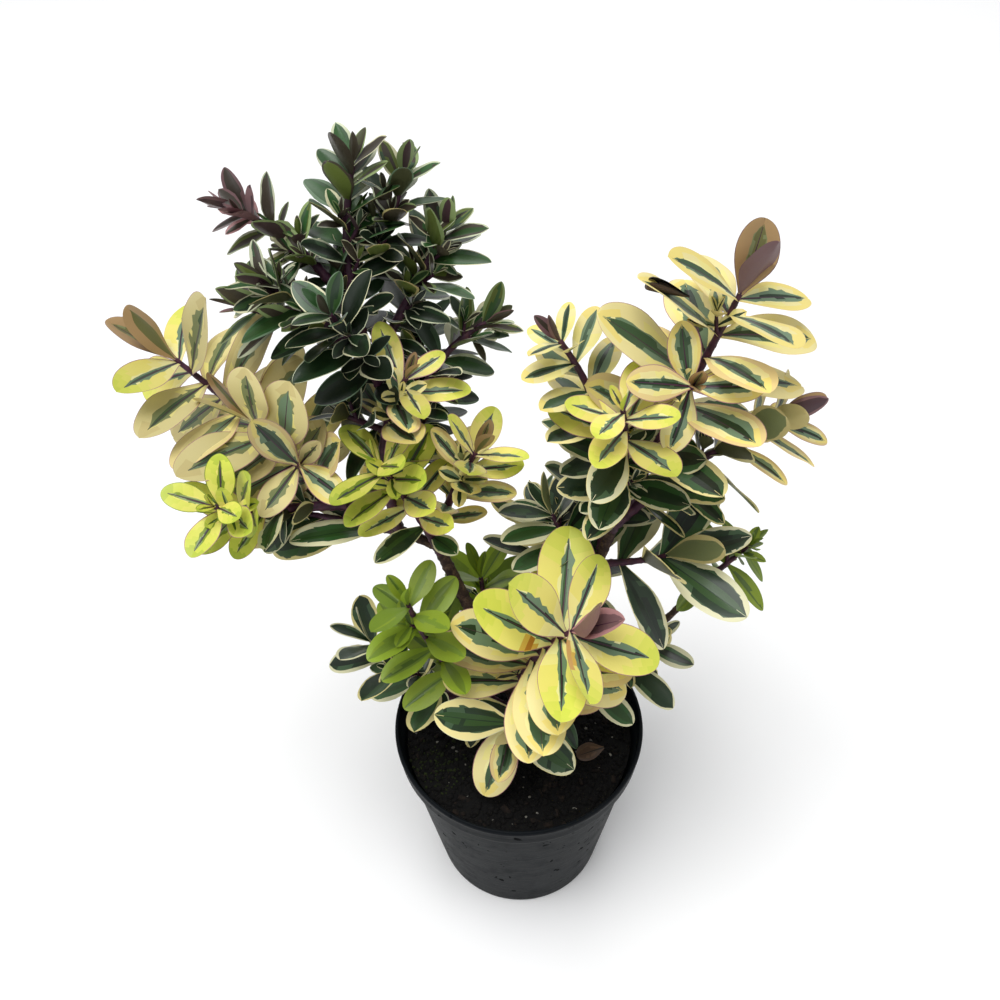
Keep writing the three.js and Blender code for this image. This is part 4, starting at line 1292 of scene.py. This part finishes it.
# Scatters one kind of crumb where an attribute of the bed lets it.
def crumbRig(kind):
    rig = Rig(f"scatter_{kind}", {
        "Density": "Float", "Smallest": "Float", "Largest": "Float", "Flatness": "Vector",
        "Seed": "Int", "Where": "String", "Paint": "Material"})

    # A random value for each crumb, from the sockets that its type uses.
    def randomly(least, most, isVector=True):
        dataType, low, high, out = ("FLOAT_VECTOR", 0, 1, 0) if isVector else ("FLOAT", 2, 3, 1)
        return rig.make("FunctionNodeRandomValue", {"data_type": dataType}, {
            low: least, high: most, "Seed": rig.given("Seed")}, out)

    scatter = rig.make("GeometryNodeDistributePointsOnFaces", {}, {
        "Mesh": rig.given("Geometry"), "Seed": rig.given("Seed"),
        "Density": rig.given("Density") * rig.attribute(rig.given("Where"))})
    shapes = {
        "round": ("GeometryNodeMeshIcoSphere", {"Radius": 0.5, "Subdivisions": 1}),
        "chip": ("GeometryNodeMeshCube", {"Size": (1.0, 1.0, 1.0)}),
    }
    shape, sizes = shapes[kind]
    stretch = rig.make("ShaderNodeVectorMath", {"operation": "MULTIPLY"}, {
        0: randomly((0.6, 0.6, 0.6), (1.4, 1.4, 1.4)), 1: rig.given("Flatness")})
    scale = rig.make("ShaderNodeVectorMath", {"operation": "SCALE"}, {
        0: stretch, "Scale": randomly(rig.given("Smallest"), rig.given("Largest"), isVector=False)})
    crumbs = rig.make("GeometryNodeInstanceOnPoints", {}, {
        "Points": scatter, "Instance": rig.make(shape, {}, sizes), "Scale": scale,
        "Rotation": randomly((-0.5, -0.5, 0.0), (0.5, 0.5, anyTurn))})
    rig.finish(crumbs, "Paint")
    return rig


def soilPaint(name, dark, light, scale=500):
    stops = ((0.35, dark), (0.7, light))
    return grainPaint(name, linear(dark), 0.25, (scale, 5, 0.7), (0.78, 0.2), (0.0008, 0.9), stops)


scatters = {  # kind, hues, then density per square metre and sizes in metres
    "compost_crumbs": ("round", ("#040404", "#0e0b0a"), {
        "Where": "litter", "Density": 150000.0, "Smallest": 0.0012, "Largest": 0.0042,
        "Flatness": (1, 1, 0.7), "Seed": 3}),
    "compost_chips": ("chip", ("#0a0807", "#2a201a"), {
        "Where": "litter", "Density": 15000.0, "Smallest": 0.0016, "Largest": 0.005,
        "Flatness": (1.3, 0.45, 0.22), "Seed": 8}),
    "compost_grit": ("round", ("#4a4844", "#9d9a91"), {
        "Where": "litter", "Density": 8000.0, "Smallest": 0.0008, "Largest": 0.0022,
        "Flatness": (1, 0.9, 0.7), "Seed": 13}),
    "compost_moss": ("round", ("#101607", "#2c3613"), {
        "Where": "mossy", "Density": 300000.0, "Smallest": 0.0008, "Largest": 0.0022,
        "Flatness": (1, 1, 1.2), "Seed": 21}),
}
for name, (kind, hues, values) in scatters.items():
    piece = addObject(name, compostBed.data.copy())
    crumbRig(kind).grow(piece, {**values, "Paint": soilPaint(name + "_paint", *hues)})
    fitted(piece)
    print(name, len(piece.data.polygons), "faces")
compostBed.data.materials.append(soilPaint("compost_paint", bed["dark"], bed["light"], bed["grain"]))
fitted(compostBed, ["compost"])
print("compost_bed", len(compostBed.data.polygons), "faces")
